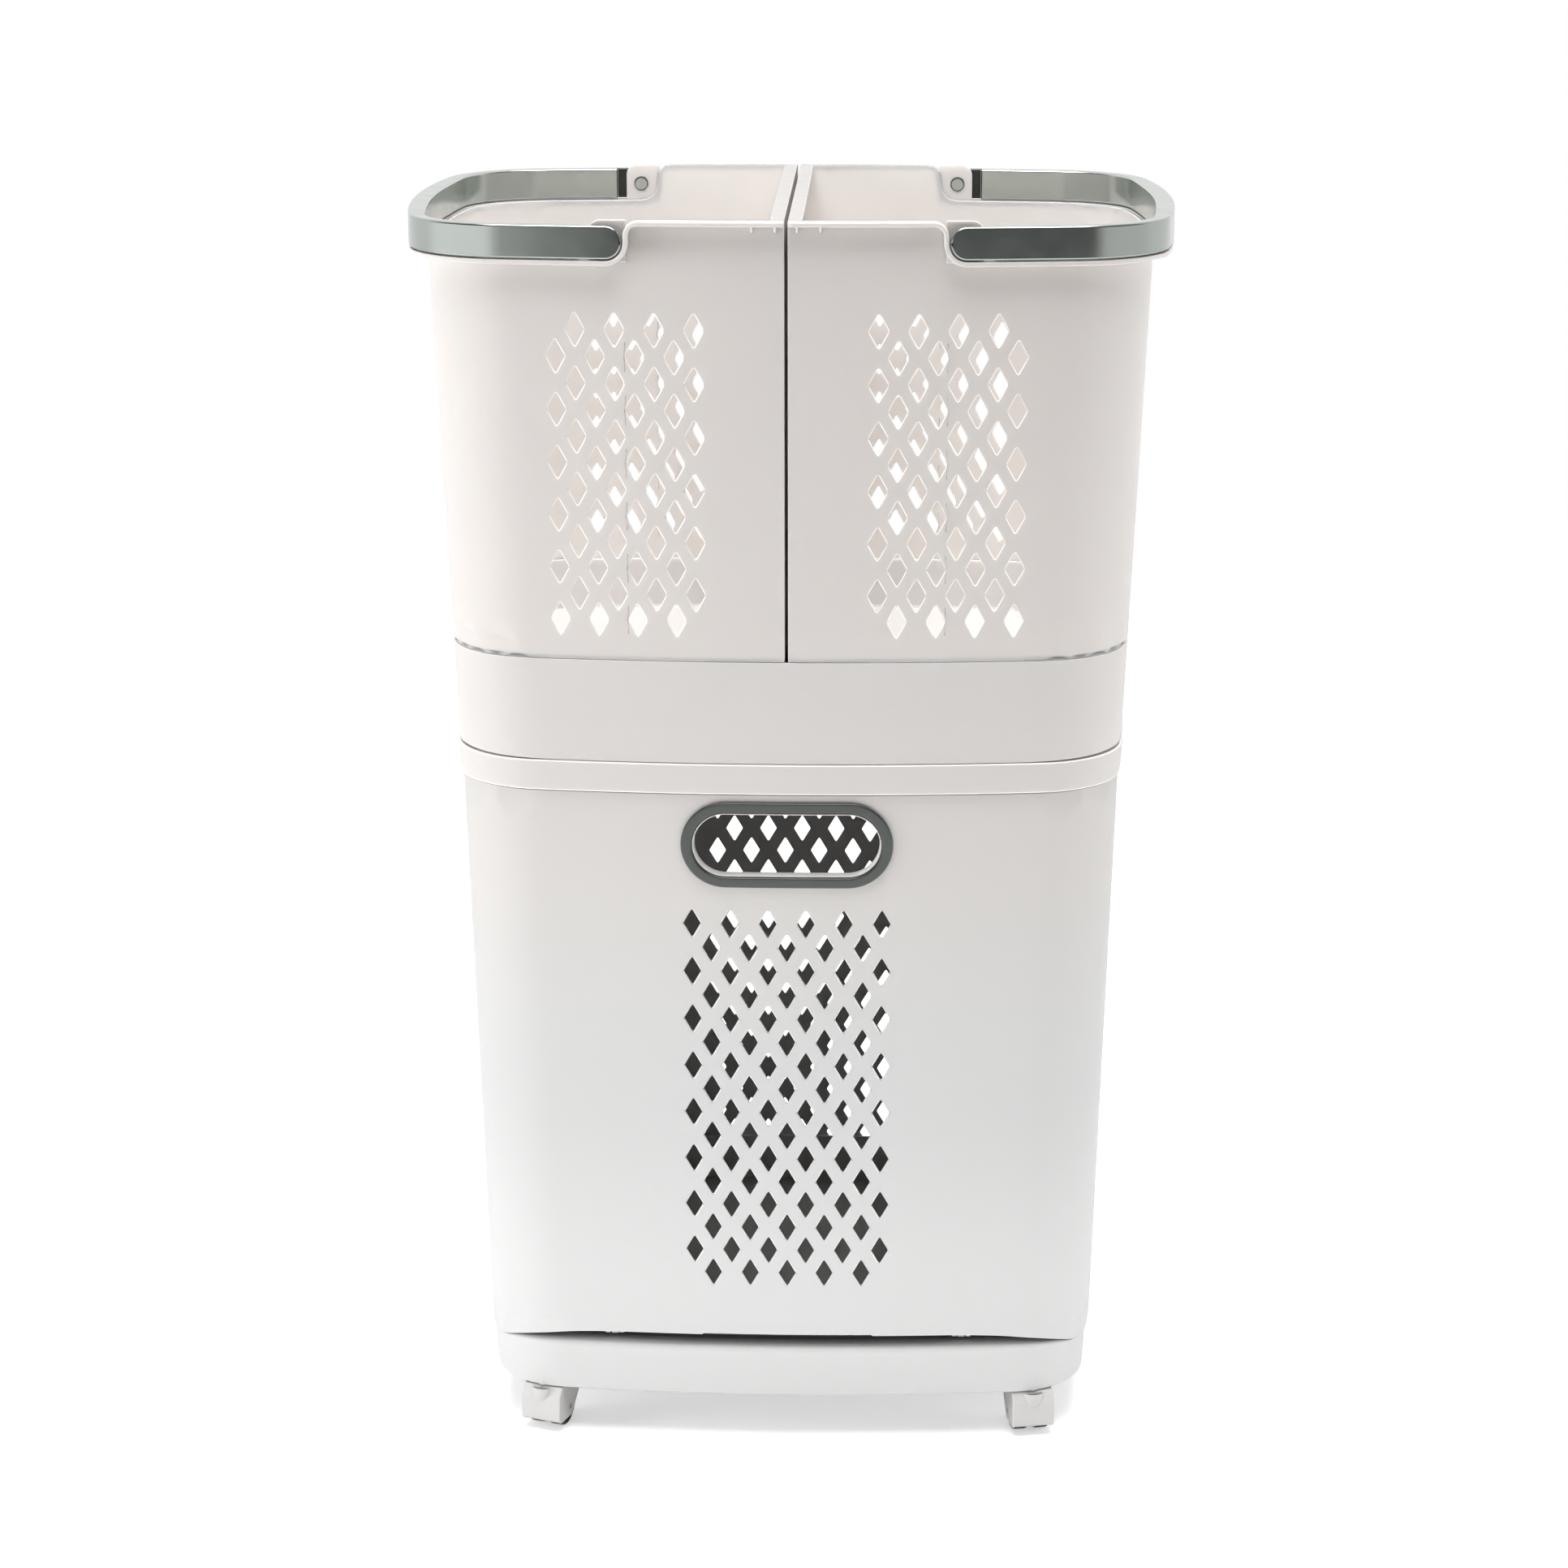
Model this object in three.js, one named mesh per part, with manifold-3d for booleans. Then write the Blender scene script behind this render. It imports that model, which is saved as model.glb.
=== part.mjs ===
// Laundry sorter on wheels: two lift-out baskets on a tray, over a bin that tips out at the front.
// Millimetres. X runs to the right, Y to the back and Z up. The origin is on the floor, under the centre.

import * as THREE from 'three';
import { mergeVertices } from 'three/addons/utils/BufferGeometryUtils.js';
import Module from 'manifold-3d';

const wasm = await Module();
wasm.setup();

// Heights above the floor.
const BASE_BOTTOM = 31.8;
const BASE_TOP = 62;
const BASE_RIM = 76.5;
const SHELL_BOTTOM = 62.6;
const SHELL_TOP = 446.7;
const DOOR_TOP = 446.2;
const BAND_BOTTOM = 447;
const BAND_TOP = 466.4;
const TRAY_BOTTOM = 467.2;
const TRAY_DECK = 495.4;
const TRAY_TOP = 532;
const BASKET_FLOOR = 498.3;
const BASKET_SEAT = 532.8;
const RIM_TOP = 804.7;

// Wall thicknesses and gaps.
const WALL = 2.2;
const TRAY_WALL = 2.6;
const BASE_WALL = 3;
const PLATE = 2.6;
const GAP = 0.3;
const SEAM_GAP = 0.7;
const LOOSE = 0.4;
const BORE_LOOSE = 0.35;

// Plans of the body: half sizes at height z, corner radius, and how far the walls lean out per mm of height.
const UPPER = { z: 468, halfWidth: 216, halfDepth: 153.1, corner: 60, sideLean: 0.0385, frontLean: 0.0504 };
const LOWER = { z: 446, halfWidth: 214.3, halfDepth: 150.3, corner: 59, sideLean: 0.0277, frontLean: 0.0468 };
const BASE = { z: 66, halfWidth: 201.8, halfDepth: 132.5, corner: 52, sideLean: 0.06, frontLean: 0.02 };
const RIM = { z: 791, halfWidth: 240.8, halfDepth: 178.4, corner: 70, sideLean: 0, frontLean: 0 };
const FRONT_BOW = 1250;
const SIDE_BOW = 700;
const FRONT_STEPS = 4;
const SIDE_STEPS = 2;
const CORNER_STEPS = 4;
const WING_STEPS = 96;
const HANDLE_END_STEPS = 12;
const OBLONG_STEPS = 8;
const ARCH_STEPS = 10;
const LEDGE_STEPS = 4;
const SMALL_STEPS = 3;

// Reach of the cutting blocks, and how far a cutter passes the face that it cuts.
const FAR = 400;
const WIDE = [-FAR, FAR];
const HEIGHT = [0, 900];
const OVER = 1;
const FRONT_ZONE_Y = -100;
const BACK_ZONE_Y = 100;

// Baskets.
const SPLIT = 1;
const NEST_INSET = 3.5;
const TOP_FLANGE = 9;
const LIP = 3;
const GUSSET = { places: [6, 20], half: 0.7, reach: 7, drop: 4.5, bite: 0.5 };

// Handles: each turns on two stubs in the basket's tabs.
const PIVOT = { x: 107.7, z: 791.8 };
const HANDLE_HALF_HEIGHT = 10;
const HANDLE_SIDE_THICK = 12;
const HANDLE_ARM_THICK = 9;
const HANDLE_END_THICK = 4.5;
const HANDLE_STEP_X = 124;
const END_CLEARANCE = 0.8;
const STUB_END_GAP = 0.8;
const STEP_RADIUS = 9;
const TAB = { front: 166.9, back: 163.9, outer: 117.7, corner: 7 };
const STUB_RADIUS = 4.25;

// Diamond holes.
const BASKET_HOLES = { width: 12.1, height: 22, pitchX: 24, pitchZ: 16.36, topZ: 738.4, rows: 12 };
const BASKET_COLUMNS = { count: 4, innerX: 55.6 };
const DOOR_HOLES = { width: 10.6, height: 18.5, pitchX: 24, pitchZ: 16.06, middleX: 0, topZ: 360.6, rows: 16 };
const BACK_HOLES = { width: 11.8, height: 19.5, pitchX: 24, pitchZ: 16, middleX: 3.2, topZ: 357.3, rows: 16 };
const LOWER_COLUMNS = 6;

// Bin: it turns on pins near its front bottom edge.
const HINGE = { y: -113, z: 73.5, radius: 2.5, holeRadius: 2.9 };
const SEAM_Y = -62;
const WING_REACH = 372.6;
const DOOR_LIP = 7.5;
const DOOR_NOTCH = { halfWidth: 55, height: 0.8 };
const ARCH = { halfSpan: 190, power: 4.2, doorRise: 12.2, sillRise: 4 };
const SILL_WIDTH = 8;
const ARCH_END_Y = -90;
const CHEEK = { outer: 3.6, inner: 5.8, frontY: -88, backY: -55, top: 440 };
const HOUSING_FLANGE = 9;
const LEDGE_WIDTH = 14;
const COLLAR = { outer: 3.6, inner: 6.2, height: 14 };
const BUCKET = { floor: 82, halfWidth: 189.8, inset: 6.2, top: 432, backTop: 116, backY: 118, frontY: -93 };
const EAR = { innerX: 108, outerX: 120, thick: 3, half: 4.5 };
const LUG = { fromX: 111.7, toX: 116.3, half: 4.5, top: 78 };
const PIN_X = [106, 122];

// Hand hole with a collar moulded on the bin's front, and the grip ring round it.
const HAND_HOLE = { z: 413.5, halfWidth: 58.5, halfHeight: 20 };
const HAND_COLLAR = { thick: 2.2, depth: 12, lip: 1.2, proud: 1.6 };
const GRIP = { halfWidth: 66.5, halfHeight: 29.2, proud: 2.8 };

// Casters, in a frame with its origin on the floor under the stem.
const CASTERS = [
	{ name: 'front_left', x: -161, y: -115, yaw: -20 },
	{ name: 'front_right', x: 161, y: -115, yaw: 11 },
	{ name: 'back_left', x: -161, y: 115, yaw: -11 },
	{ name: 'back_right', x: 161, y: 115, yaw: 11 },
];
const HOOD = { halfWidth: 14, front: -8, top: 31, skin: 1.6, web: 3 };
const HOOD_OUTLINE = [[-8, 9], [-5, 6], [12, 6], [25, 22], [25, 28], [22, 31], [-4, 31], [-8, 25]];
const HOOD_HOLLOW = [[-6.4, -1], [60, -1], [60, 24.4], [22, 28.4], [-3, 29.4], [-6.4, 24]];
const AXLE = { y: 9, z: 13, radius: 1.5, sides: 8 };
const WHEEL = { flat: 13, width: 9.8, sides: 16 };
const ROUND_SIDES = 12;
const STEM = { radius: 3.5, bottom: 29, top: 57 };
const BOSS = { radius: 6.4, bottom: 20, proud: 2 };
const AXLE_END = 0.5;
const AXLE_LOOSE = 0.3;
const SOCKET_RADIUS = 5.2;
const RIB = { y: 60, half: 1, bottom: 46 };

const WHITE = { color: 0xe9e6e2, roughness: 0.45, metalness: 0 };
const INNER_WHITE = { color: 0xe2dfdb, roughness: 0.5, metalness: 0 };
const GREY_GREEN = { color: 0x7f8a86, roughness: 0.25, metalness: 0 };
const CASTER_GREY = { color: 0xd8d6d3, roughness: 0.4, metalness: 0 };
const TREAD_GREY = { color: 0x3a3a3b, roughness: 0.6, metalness: 0 };
const STEEL = { color: 0xb8babc, roughness: 0.3, metalness: 1 };

// A closed geometry as a solid that can be joined and cut.
function solid(geometry) {
	const bare = geometry.clone();
	bare.deleteAttribute('normal');
	bare.deleteAttribute('uv');
	const merged = mergeVertices(bare, 1e-4);
	const vertProperties = new Float32Array(merged.attributes.position.array);
	const triVerts = new Uint32Array(merged.index.array);
	return new wasm.Manifold(new wasm.Mesh({ numProp: 3, vertProperties, triVerts }));
}

function join(...solids) {
	return solids.reduce((sum, next) => sum.add(next));
}

function cut(body, ...tools) {
	return tools.reduce((rest, tool) => rest.subtract(tool), body);
}

function box(x, y, z) {
	const geometry = new THREE.BoxGeometry(x[1] - x[0], y[1] - y[0], z[1] - z[0]);
	geometry.translate((x[0] + x[1]) / 2, (y[0] + y[1]) / 2, (z[0] + z[1]) / 2);
	return solid(geometry);
}

// Points along an arc, without its last point.
function arc(x, y, radius, from, to, steps) {
	const points = [];
	for (let i = 0; i < steps; i++) {
		const angle = from + ((to - from) * i) / steps;
		points.push(new THREE.Vector2(x + radius * Math.cos(angle), y + radius * Math.sin(angle)));
	}
	return points;
}

// Where the corner circle of a plan touches both the bowed front and the bowed side from inside.
function cornerCentre(plan) {
	const front = new THREE.Vector2(0, FRONT_BOW - plan.halfDepth);
	const side = new THREE.Vector2(plan.halfWidth - SIDE_BOW, 0);
	const toFront = FRONT_BOW - plan.corner;
	const toSide = SIDE_BOW - plan.corner;
	const between = side.clone().sub(front);
	const distance = between.length();
	const along = (toFront ** 2 - toSide ** 2 + distance ** 2) / (2 * distance);
	const across = Math.sqrt(toFront ** 2 - along ** 2);
	const unit = between.divideScalar(distance);
	const x = front.x + unit.x * along - unit.y * across;
	const y = front.y + unit.y * along + unit.x * across;
	return new THREE.Vector2(x, y);
}

// The closed outline of a plan, moved in by inset: four bowed sides and four round corners.
function planPoints(plan, inset) {
	const corner = cornerCentre(plan);
	const frontY = FRONT_BOW - plan.halfDepth;
	const sideX = plan.halfWidth - SIDE_BOW;
	const frontAngle = Math.atan2(corner.x, frontY - corner.y);
	const sideAngle = Math.atan2(-corner.y, corner.x - sideX);
	const quarter = Math.PI / 2;
	const frontRadius = FRONT_BOW - inset;
	const sideRadius = SIDE_BOW - inset;
	const radius = plan.corner - inset;
	const half = [
		...arc(0, frontY, frontRadius, -quarter - frontAngle, -quarter + frontAngle, FRONT_STEPS),
		...arc(corner.x, corner.y, radius, -quarter + frontAngle, -sideAngle, CORNER_STEPS),
		...arc(sideX, 0, sideRadius, -sideAngle, sideAngle, SIDE_STEPS),
		...arc(corner.x, -corner.y, radius, sideAngle, quarter - frontAngle, CORNER_STEPS),
	];
	const otherHalf = half.map((point) => new THREE.Vector2(-point.x, -point.y));
	return [...half, ...otherHalf];
}

// A solid slice of the body between two heights. Its walls lean as the plan says.
function slab(plan, inset, bottom, top) {
	const shape = new THREE.Shape(planPoints(plan, inset));
	const geometry = new THREE.ExtrudeGeometry(shape, { depth: top - bottom, bevelEnabled: false });
	geometry.translate(0, 0, bottom);
	const position = geometry.attributes.position;
	for (let i = 0; i < position.count; i++) {
		const rise = position.getZ(i) - plan.z;
		position.setX(i, position.getX(i) * (1 + (rise * plan.sideLean) / plan.halfWidth));
		position.setY(i, position.getY(i) * (1 + (rise * plan.frontLean) / plan.halfDepth));
	}
	return solid(geometry);
}

// The layer of the body between two insets.
function layer(plan, outer, inner, bottom, top) {
	return slab(plan, outer, bottom, top).subtract(slab(plan, inner, bottom - OVER, top + OVER));
}

// An outline in X and Z, carried from one Y to another.
function alongY(points, from, to) {
	const options = { depth: to - from, bevelEnabled: false };
	const geometry = new THREE.ExtrudeGeometry(new THREE.Shape(points), options);
	geometry.rotateX(Math.PI / 2).translate(0, to, 0);
	return solid(geometry);
}

// An outline in Y and Z, carried from one X to another.
function alongX(points, from, to) {
	const options = { depth: to - from, bevelEnabled: false };
	const geometry = new THREE.ExtrudeGeometry(new THREE.Shape(points), options);
	geometry.rotateX(Math.PI / 2).rotateZ(Math.PI / 2).translate(from, 0, 0);
	return solid(geometry);
}

function rodX(radius, x, y, z, sides = ROUND_SIDES) {
	const geometry = new THREE.CylinderGeometry(radius, radius, x[1] - x[0], sides);
	geometry.rotateZ(Math.PI / 2).translate((x[0] + x[1]) / 2, y, z);
	return solid(geometry);
}

function rodY(radius, x, y, z, sides = ROUND_SIDES) {
	const geometry = new THREE.CylinderGeometry(radius, radius, y[1] - y[0], sides);
	geometry.translate(x, (y[0] + y[1]) / 2, z);
	return solid(geometry);
}

function rodZ(radius, x, y, z, sides = ROUND_SIDES) {
	const geometry = new THREE.CylinderGeometry(radius, radius, z[1] - z[0], sides);
	geometry.rotateX(Math.PI / 2).translate(x, y, (z[0] + z[1]) / 2);
	return solid(geometry);
}

function vectors(pairs) {
	return pairs.map(([x, y]) => new THREE.Vector2(x, y));
}

function diamond(x, z, holes) {
	return vectors([
		[x, z - holes.height / 2],
		[x + holes.width / 2, z],
		[x, z + holes.height / 2],
		[x - holes.width / 2, z],
	]);
}

// A flat oblong with round ends, in X and Z, about the hand hole's centre.
function oblong(halfWidth, halfHeight) {
	const { z } = HAND_HOLE;
	const centre = halfWidth - halfHeight;
	const quarter = Math.PI / 2;
	return [
		...arc(centre, z, halfHeight, -quarter, quarter, OBLONG_STEPS),
		new THREE.Vector2(centre, z + halfHeight),
		...arc(-centre, z, halfHeight, quarter, 3 * quarter, OBLONG_STEPS),
		new THREE.Vector2(-centre, z - halfHeight),
	];
}

// Cutters for one basket. Every other row is half a pitch further out.
function basketHoleCutters() {
	const cutters = [];
	for (let row = 0; row < BASKET_HOLES.rows; row++) {
		const shift = row % 2 === 0 ? 0 : BASKET_HOLES.pitchX / 2;
		for (let column = 0; column < BASKET_COLUMNS.count; column++) {
			const x = BASKET_COLUMNS.innerX + shift + column * BASKET_HOLES.pitchX;
			const z = BASKET_HOLES.topZ - row * BASKET_HOLES.pitchZ;
			cutters.push(alongY(diamond(x, z, BASKET_HOLES), -FAR, FAR));
		}
	}
	return cutters;
}

// An outline in X and Z under a flat-topped arch that stands on the height low and rises by rise.
function archOutline(low, rise) {
	const points = [new THREE.Vector2(-FAR, 0), new THREE.Vector2(FAR, 0), new THREE.Vector2(FAR, low)];
	for (let i = ARCH_STEPS; i >= -ARCH_STEPS; i--) {
		const part = i / ARCH_STEPS;
		const drop = rise * Math.abs(part) ** ARCH.power;
		points.push(new THREE.Vector2(part * ARCH.halfSpan, low + rise - drop));
	}
	points.push(new THREE.Vector2(-FAR, low));
	return points;
}

// Cutters for the lower walls. Every other row has one hole fewer.
function lowerHoleCutters(holes, fromY, toY) {
	const cutters = [];
	for (let row = 0; row < holes.rows; row++) {
		const count = row % 2 === 0 ? LOWER_COLUMNS : LOWER_COLUMNS - 1;
		for (let column = 0; column < count; column++) {
			const x = holes.middleX + (column - (count - 1) / 2) * holes.pitchX;
			cutters.push(alongY(diamond(x, holes.topZ - row * holes.pitchZ, holes), fromY, toY));
		}
	}
	return cutters;
}

// The rim's edge in X and Z, from the split outwards: level, then an S curve round the handle's end
// down to the ledge under the handle. depth moves it down into the rim's thickness.
function rimLine(depth) {
	const ledgeRadius = HANDLE_HALF_HEIGHT + END_CLEARANCE + depth;
	const stepX = PIVOT.x - HANDLE_HALF_HEIGHT - END_CLEARANCE - STEP_RADIUS;
	const stepZ = RIM_TOP - STEP_RADIUS;
	const quarter = Math.PI / 2;
	return [
		new THREE.Vector2(-FAR, RIM_TOP - depth),
		...arc(stepX, stepZ, STEP_RADIUS - depth, quarter, 0, SMALL_STEPS),
		new THREE.Vector2(stepX + STEP_RADIUS - depth, stepZ),
		...arc(PIVOT.x, PIVOT.z, ledgeRadius, Math.PI, Math.PI + quarter, LEDGE_STEPS),
		new THREE.Vector2(PIVOT.x, PIVOT.z - ledgeRadius),
		new THREE.Vector2(FAR, PIVOT.z - ledgeRadius),
	];
}

function underRim() {
	const points = rimLine(0);
	points.push(new THREE.Vector2(FAR, 0), new THREE.Vector2(-FAR, 0));
	return alongY(points.reverse(), -FAR, FAR);
}

function rimRibbon() {
	const points = [...rimLine(0), ...rimLine(LIP).reverse()];
	return alongY(points.reverse(), -FAR, FAR);
}

// The lip that runs round the top of a basket and follows the rim line.
function rimLip() {
	const lowest = PIVOT.z - HANDLE_HALF_HEIGHT - END_CLEARANCE - LIP - OVER;
	const inside = slab(UPPER, WALL, lowest - OVER, RIM_TOP + OVER);
	const ring = slab(RIM, 0, lowest, RIM_TOP).subtract(inside);
	return ring.intersect(rimRibbon());
}

// The tab that holds a handle's stub, with a round top outer corner.
function handleTab(front, back) {
	const left = PIVOT.x - HANDLE_HALF_HEIGHT - END_CLEARANCE - LIP / 2;
	const low = PIVOT.z - HANDLE_HALF_HEIGHT - END_CLEARANCE - LIP / 2;
	const round = arc(TAB.outer - TAB.corner, RIM_TOP - TAB.corner, TAB.corner, 0, Math.PI / 2, SMALL_STEPS);
	const points = [
		new THREE.Vector2(left, low),
		new THREE.Vector2(TAB.outer, low),
		...round,
		new THREE.Vector2(TAB.outer - TAB.corner, RIM_TOP),
		new THREE.Vector2(left, RIM_TOP),
	];
	return alongY(points, front, back);
}

function gussets() {
	const lipBottom = RIM_TOP - LIP;
	const wallY = UPPER.halfDepth + (lipBottom - UPPER.z) * UPPER.frontLean;
	const teeth = [];
	for (const x of GUSSET.places) {
		for (const side of [-1, 1]) {
			const points = vectors([
				[side * (wallY - OVER), lipBottom - GUSSET.drop],
				[side * (wallY + GUSSET.reach), lipBottom + GUSSET.bite],
				[side * (wallY - OVER), lipBottom + GUSSET.bite],
			]);
			if (side < 0) points.reverse();
			teeth.push(alongX(points, x - GUSSET.half, x + GUSSET.half));
		}
	}
	return teeth;
}

// The basket on the right. The left one is the same piece turned half round.
function basket() {
	const keep = box([SPLIT, FAR], WIDE, HEIGHT);
	const outer = slab(UPPER, 0, BASKET_SEAT, RIM_TOP);
	const inner = slab(UPPER, WALL, BASKET_SEAT - OVER, RIM_TOP + OVER);
	const step = layer(UPPER, WALL / 2, NEST_INSET + WALL, BASKET_SEAT, BASKET_SEAT + WALL);
	const nest = slab(UPPER, NEST_INSET, BASKET_FLOOR, BASKET_SEAT + WALL);
	const nestTop = BASKET_SEAT + WALL + OVER;
	const nestInner = slab(UPPER, NEST_INSET + WALL, BASKET_FLOOR + WALL, nestTop);
	const matingWall = box([SPLIT, SPLIT + WALL], WIDE, HEIGHT);
	const walls = outer.subtract(inner).add(outer.intersect(matingWall));
	const nested = nest.subtract(nestInner).add(nest.intersect(matingWall));
	const flangeBox = box([SPLIT, SPLIT + TOP_FLANGE], WIDE, [RIM_TOP - LIP, RIM_TOP]);
	const flange = outer.intersect(flangeBox);
	const body = join(walls.add(step).intersect(underRim()), nested, rimLip(), flange, ...gussets());
	const withTabs = join(body, handleTab(-TAB.front, -TAB.back), handleTab(TAB.back, TAB.front));
	const stubHoles = rodY(STUB_RADIUS + LOOSE, PIVOT.x, WIDE, PIVOT.z);
	return cut(withTabs.intersect(keep), stubHoles, ...basketHoleCutters());
}

// The right handle: a U in plan with round ends, thinner where it passes the tabs, with two stubs.
function handle() {
	const bottom = PIVOT.z - HANDLE_HALF_HEIGHT;
	const top = PIVOT.z + HANDLE_HALF_HEIGHT;
	const innerPlan = {
		...RIM,
		halfWidth: RIM.halfWidth - HANDLE_SIDE_THICK,
		halfDepth: RIM.halfDepth - HANDLE_ARM_THICK,
		corner: RIM.corner - HANDLE_ARM_THICK,
	};
	const inside = slab(innerPlan, 0, bottom - OVER, top + OVER);
	const ring = slab(RIM, 0, bottom, top).subtract(inside);
	const quarter = Math.PI / 2;
	const sideView = [
		new THREE.Vector2(FAR, top),
		...arc(PIVOT.x, PIVOT.z, HANDLE_HALF_HEIGHT, quarter, 3 * quarter, HANDLE_END_STEPS),
		new THREE.Vector2(PIVOT.x, bottom),
		new THREE.Vector2(FAR, bottom),
	];
	const relief = slab(RIM, HANDLE_END_THICK, bottom - OVER, top + OVER);
	const reliefZone = box([0, HANDLE_STEP_X], WIDE, HEIGHT);
	const bow = cut(ring.intersect(alongY(sideView, -FAR, FAR)), relief.intersect(reliefZone));
	const stubEnd = TAB.back - STUB_END_GAP;
	const armY = RIM.halfDepth - HANDLE_END_THICK;
	const frontStub = rodY(STUB_RADIUS, PIVOT.x, [-armY, -stubEnd], PIVOT.z);
	const backStub = rodY(STUB_RADIUS, PIVOT.x, [stubEnd, armY], PIVOT.z);
	return join(bow, frontStub, backStub);
}

// The tray that both baskets stand in.
function upperTray() {
	const skirt = layer(UPPER, 0, TRAY_WALL, TRAY_BOTTOM, TRAY_TOP);
	const deck = slab(UPPER, TRAY_WALL / 2, TRAY_DECK, TRAY_DECK + PLATE);
	return skirt.add(deck);
}

// The band between the tray and the shell, with a ledge on the shell and a collar inside the tray.
function topBand() {
	const ring = layer(UPPER, 0, PLATE, BAND_BOTTOM, BAND_TOP);
	const ledge = layer(UPPER, PLATE / 2, LEDGE_WIDTH, BAND_BOTTOM, BAND_BOTTOM + PLATE);
	const behindSeam = box(WIDE, [SEAM_Y, FAR], HEIGHT);
	const step = slab(UPPER, PLATE / 2, BAND_TOP - PLATE, BAND_TOP);
	const collar = slab(UPPER, COLLAR.outer, BAND_TOP - OVER, BAND_TOP + COLLAR.height);
	const collarTop = BAND_TOP + COLLAR.height + OVER;
	const inside = slab(UPPER, COLLAR.inner, BAND_TOP - PLATE - OVER, collarTop);
	return join(ring, ledge.intersect(behindSeam), step.add(collar).subtract(inside));
}

// The shell behind the bin: back wall and sides, with cheeks running forward inside the bin's wings.
function rearHousing() {
	const frontY = SEAM_Y + SEAM_GAP;
	const behind = box(WIDE, [frontY, FAR], HEIGHT);
	const between = box(WIDE, [frontY, CHEEK.backY], HEIGHT);
	const cheekZone = box(WIDE, [CHEEK.frontY, CHEEK.backY], HEIGHT);
	const bottom = BASE_RIM + GAP;
	const walls = layer(LOWER, 0, WALL, SHELL_BOTTOM, SHELL_TOP).intersect(behind);
	const flange = layer(LOWER, WALL / 2, HOUSING_FLANGE, bottom, bottom + PLATE);
	const joggle = layer(LOWER, WALL / 2, CHEEK.inner, bottom, CHEEK.top).intersect(between);
	const cheeks = layer(LOWER, CHEEK.outer, CHEEK.inner, bottom, CHEEK.top).intersect(cheekZone);
	const body = join(walls, flange.intersect(behind), joggle, cheeks);
	return cut(body, ...lowerHoleCutters(BACK_HOLES, BACK_ZONE_Y, FAR));
}

// The bin's front: it wraps both corners, and the top of its wings is round about the hinge.
function binFront() {
	const ahead = box(WIDE, [-FAR, SEAM_Y], HEIGHT);
	const walls = layer(LOWER, 0, WALL, SHELL_BOTTOM, DOOR_TOP);
	const lip = layer(LOWER, WALL / 2, DOOR_LIP, DOOR_TOP - PLATE, DOOR_TOP);
	const reach = rodX(WING_REACH, WIDE, HINGE.y, HINGE.z, WING_STEPS);
	const shell = cut(walls.add(lip).intersect(ahead).intersect(reach), ...underDoor());
	return cut(shell.add(handCollar()), handHole(0), ...lowerHoleCutters(DOOR_HOLES, -FAR, FRONT_ZONE_Y));
}

// What is cut away under the front: the arch, the notch in its middle, and the heels of both wings,
// so that they turn past the housing.
function underDoor() {
	const arch = alongY(archOutline(SHELL_BOTTOM, ARCH.doorRise), -FAR, ARCH_END_Y);
	const notchX = [-DOOR_NOTCH.halfWidth, DOOR_NOTCH.halfWidth];
	const notchTop = SHELL_BOTTOM + ARCH.doorRise + DOOR_NOTCH.height;
	const notch = box(notchX, [-FAR, HINGE.y], [0, notchTop]);
	const turn = rodX(SEAM_Y - HINGE.y, WIDE, HINGE.y, HINGE.z, WING_STEPS);
	const heels = box(WIDE, [HINGE.y, FAR], [0, HINGE.z]).subtract(turn);
	return [arch, notch, heels];
}

// A cutter for the hand hole, with margin all round.
function handHole(margin) {
	const outline = oblong(HAND_HOLE.halfWidth + margin, HAND_HOLE.halfHeight + margin);
	return alongY(outline, -FAR - OVER, FRONT_ZONE_Y + OVER);
}

// The collar of the hand hole: a tube behind the wall, and a thin lip in front of it.
function handCollar() {
	const { thick, depth, lip, proud } = HAND_COLLAR;
	const low = HAND_HOLE.z - GRIP.halfHeight - OVER;
	const high = DOOR_TOP - PLATE;
	const tube = handHole(thick).intersect(layer(LOWER, WALL / 2, depth, low, high));
	return tube.add(handHole(lip).intersect(layer(LOWER, -proud, WALL / 2, low, high)));
}

// The grip ring: a frame that follows the front's bow, round the collar's lip.
function gripRing() {
	const outer = alongY(oblong(GRIP.halfWidth, GRIP.halfHeight), -FAR, FRONT_ZONE_Y);
	const low = HAND_HOLE.z - GRIP.halfHeight - OVER;
	const frame = outer.intersect(layer(LOWER, -GRIP.proud, -GAP, low, DOOR_TOP - PLATE));
	return frame.subtract(handHole(HAND_COLLAR.lip + GAP));
}

// The bucket behind the front: floor, flat sides that slope down to the back, and a low back lip.
function binBucket() {
	const { floor, halfWidth, inset, top, frontY } = BUCKET;
	const inside = halfWidth - WALL;
	const tub = slab(LOWER, inset, floor, top).intersect(box([-halfWidth, halfWidth], WIDE, HEIGHT));
	const hollowPlan = slab(LOWER, inset + WALL, floor + PLATE, top + OVER);
	const hollow = hollowPlan.intersect(box([-inside, inside], WIDE, HEIGHT));
	const sideView = vectors([
		[frontY, floor - OVER],
		[FAR, floor - OVER],
		[FAR, BUCKET.backTop],
		[BUCKET.backY, BUCKET.backTop],
		[frontY + WALL, top],
		[frontY, top],
	]);
	const walls = tub.subtract(hollow).intersect(alongX(sideView, -FAR, FAR));
	const floorPlate = tub.intersect(box(WIDE, WIDE, [floor, floor + PLATE]));
	const shoulderZone = box(WIDE, [frontY, frontY + WALL], [floor, top]);
	const shoulders = slab(LOWER, WALL + GAP, floor, top).intersect(shoulderZone);
	const middle = box([-inside, inside], WIDE, [floor + PLATE, BAND_TOP]);
	return join(walls, floorPlate, shoulders.subtract(middle), ...bucketEars());
}

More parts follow.
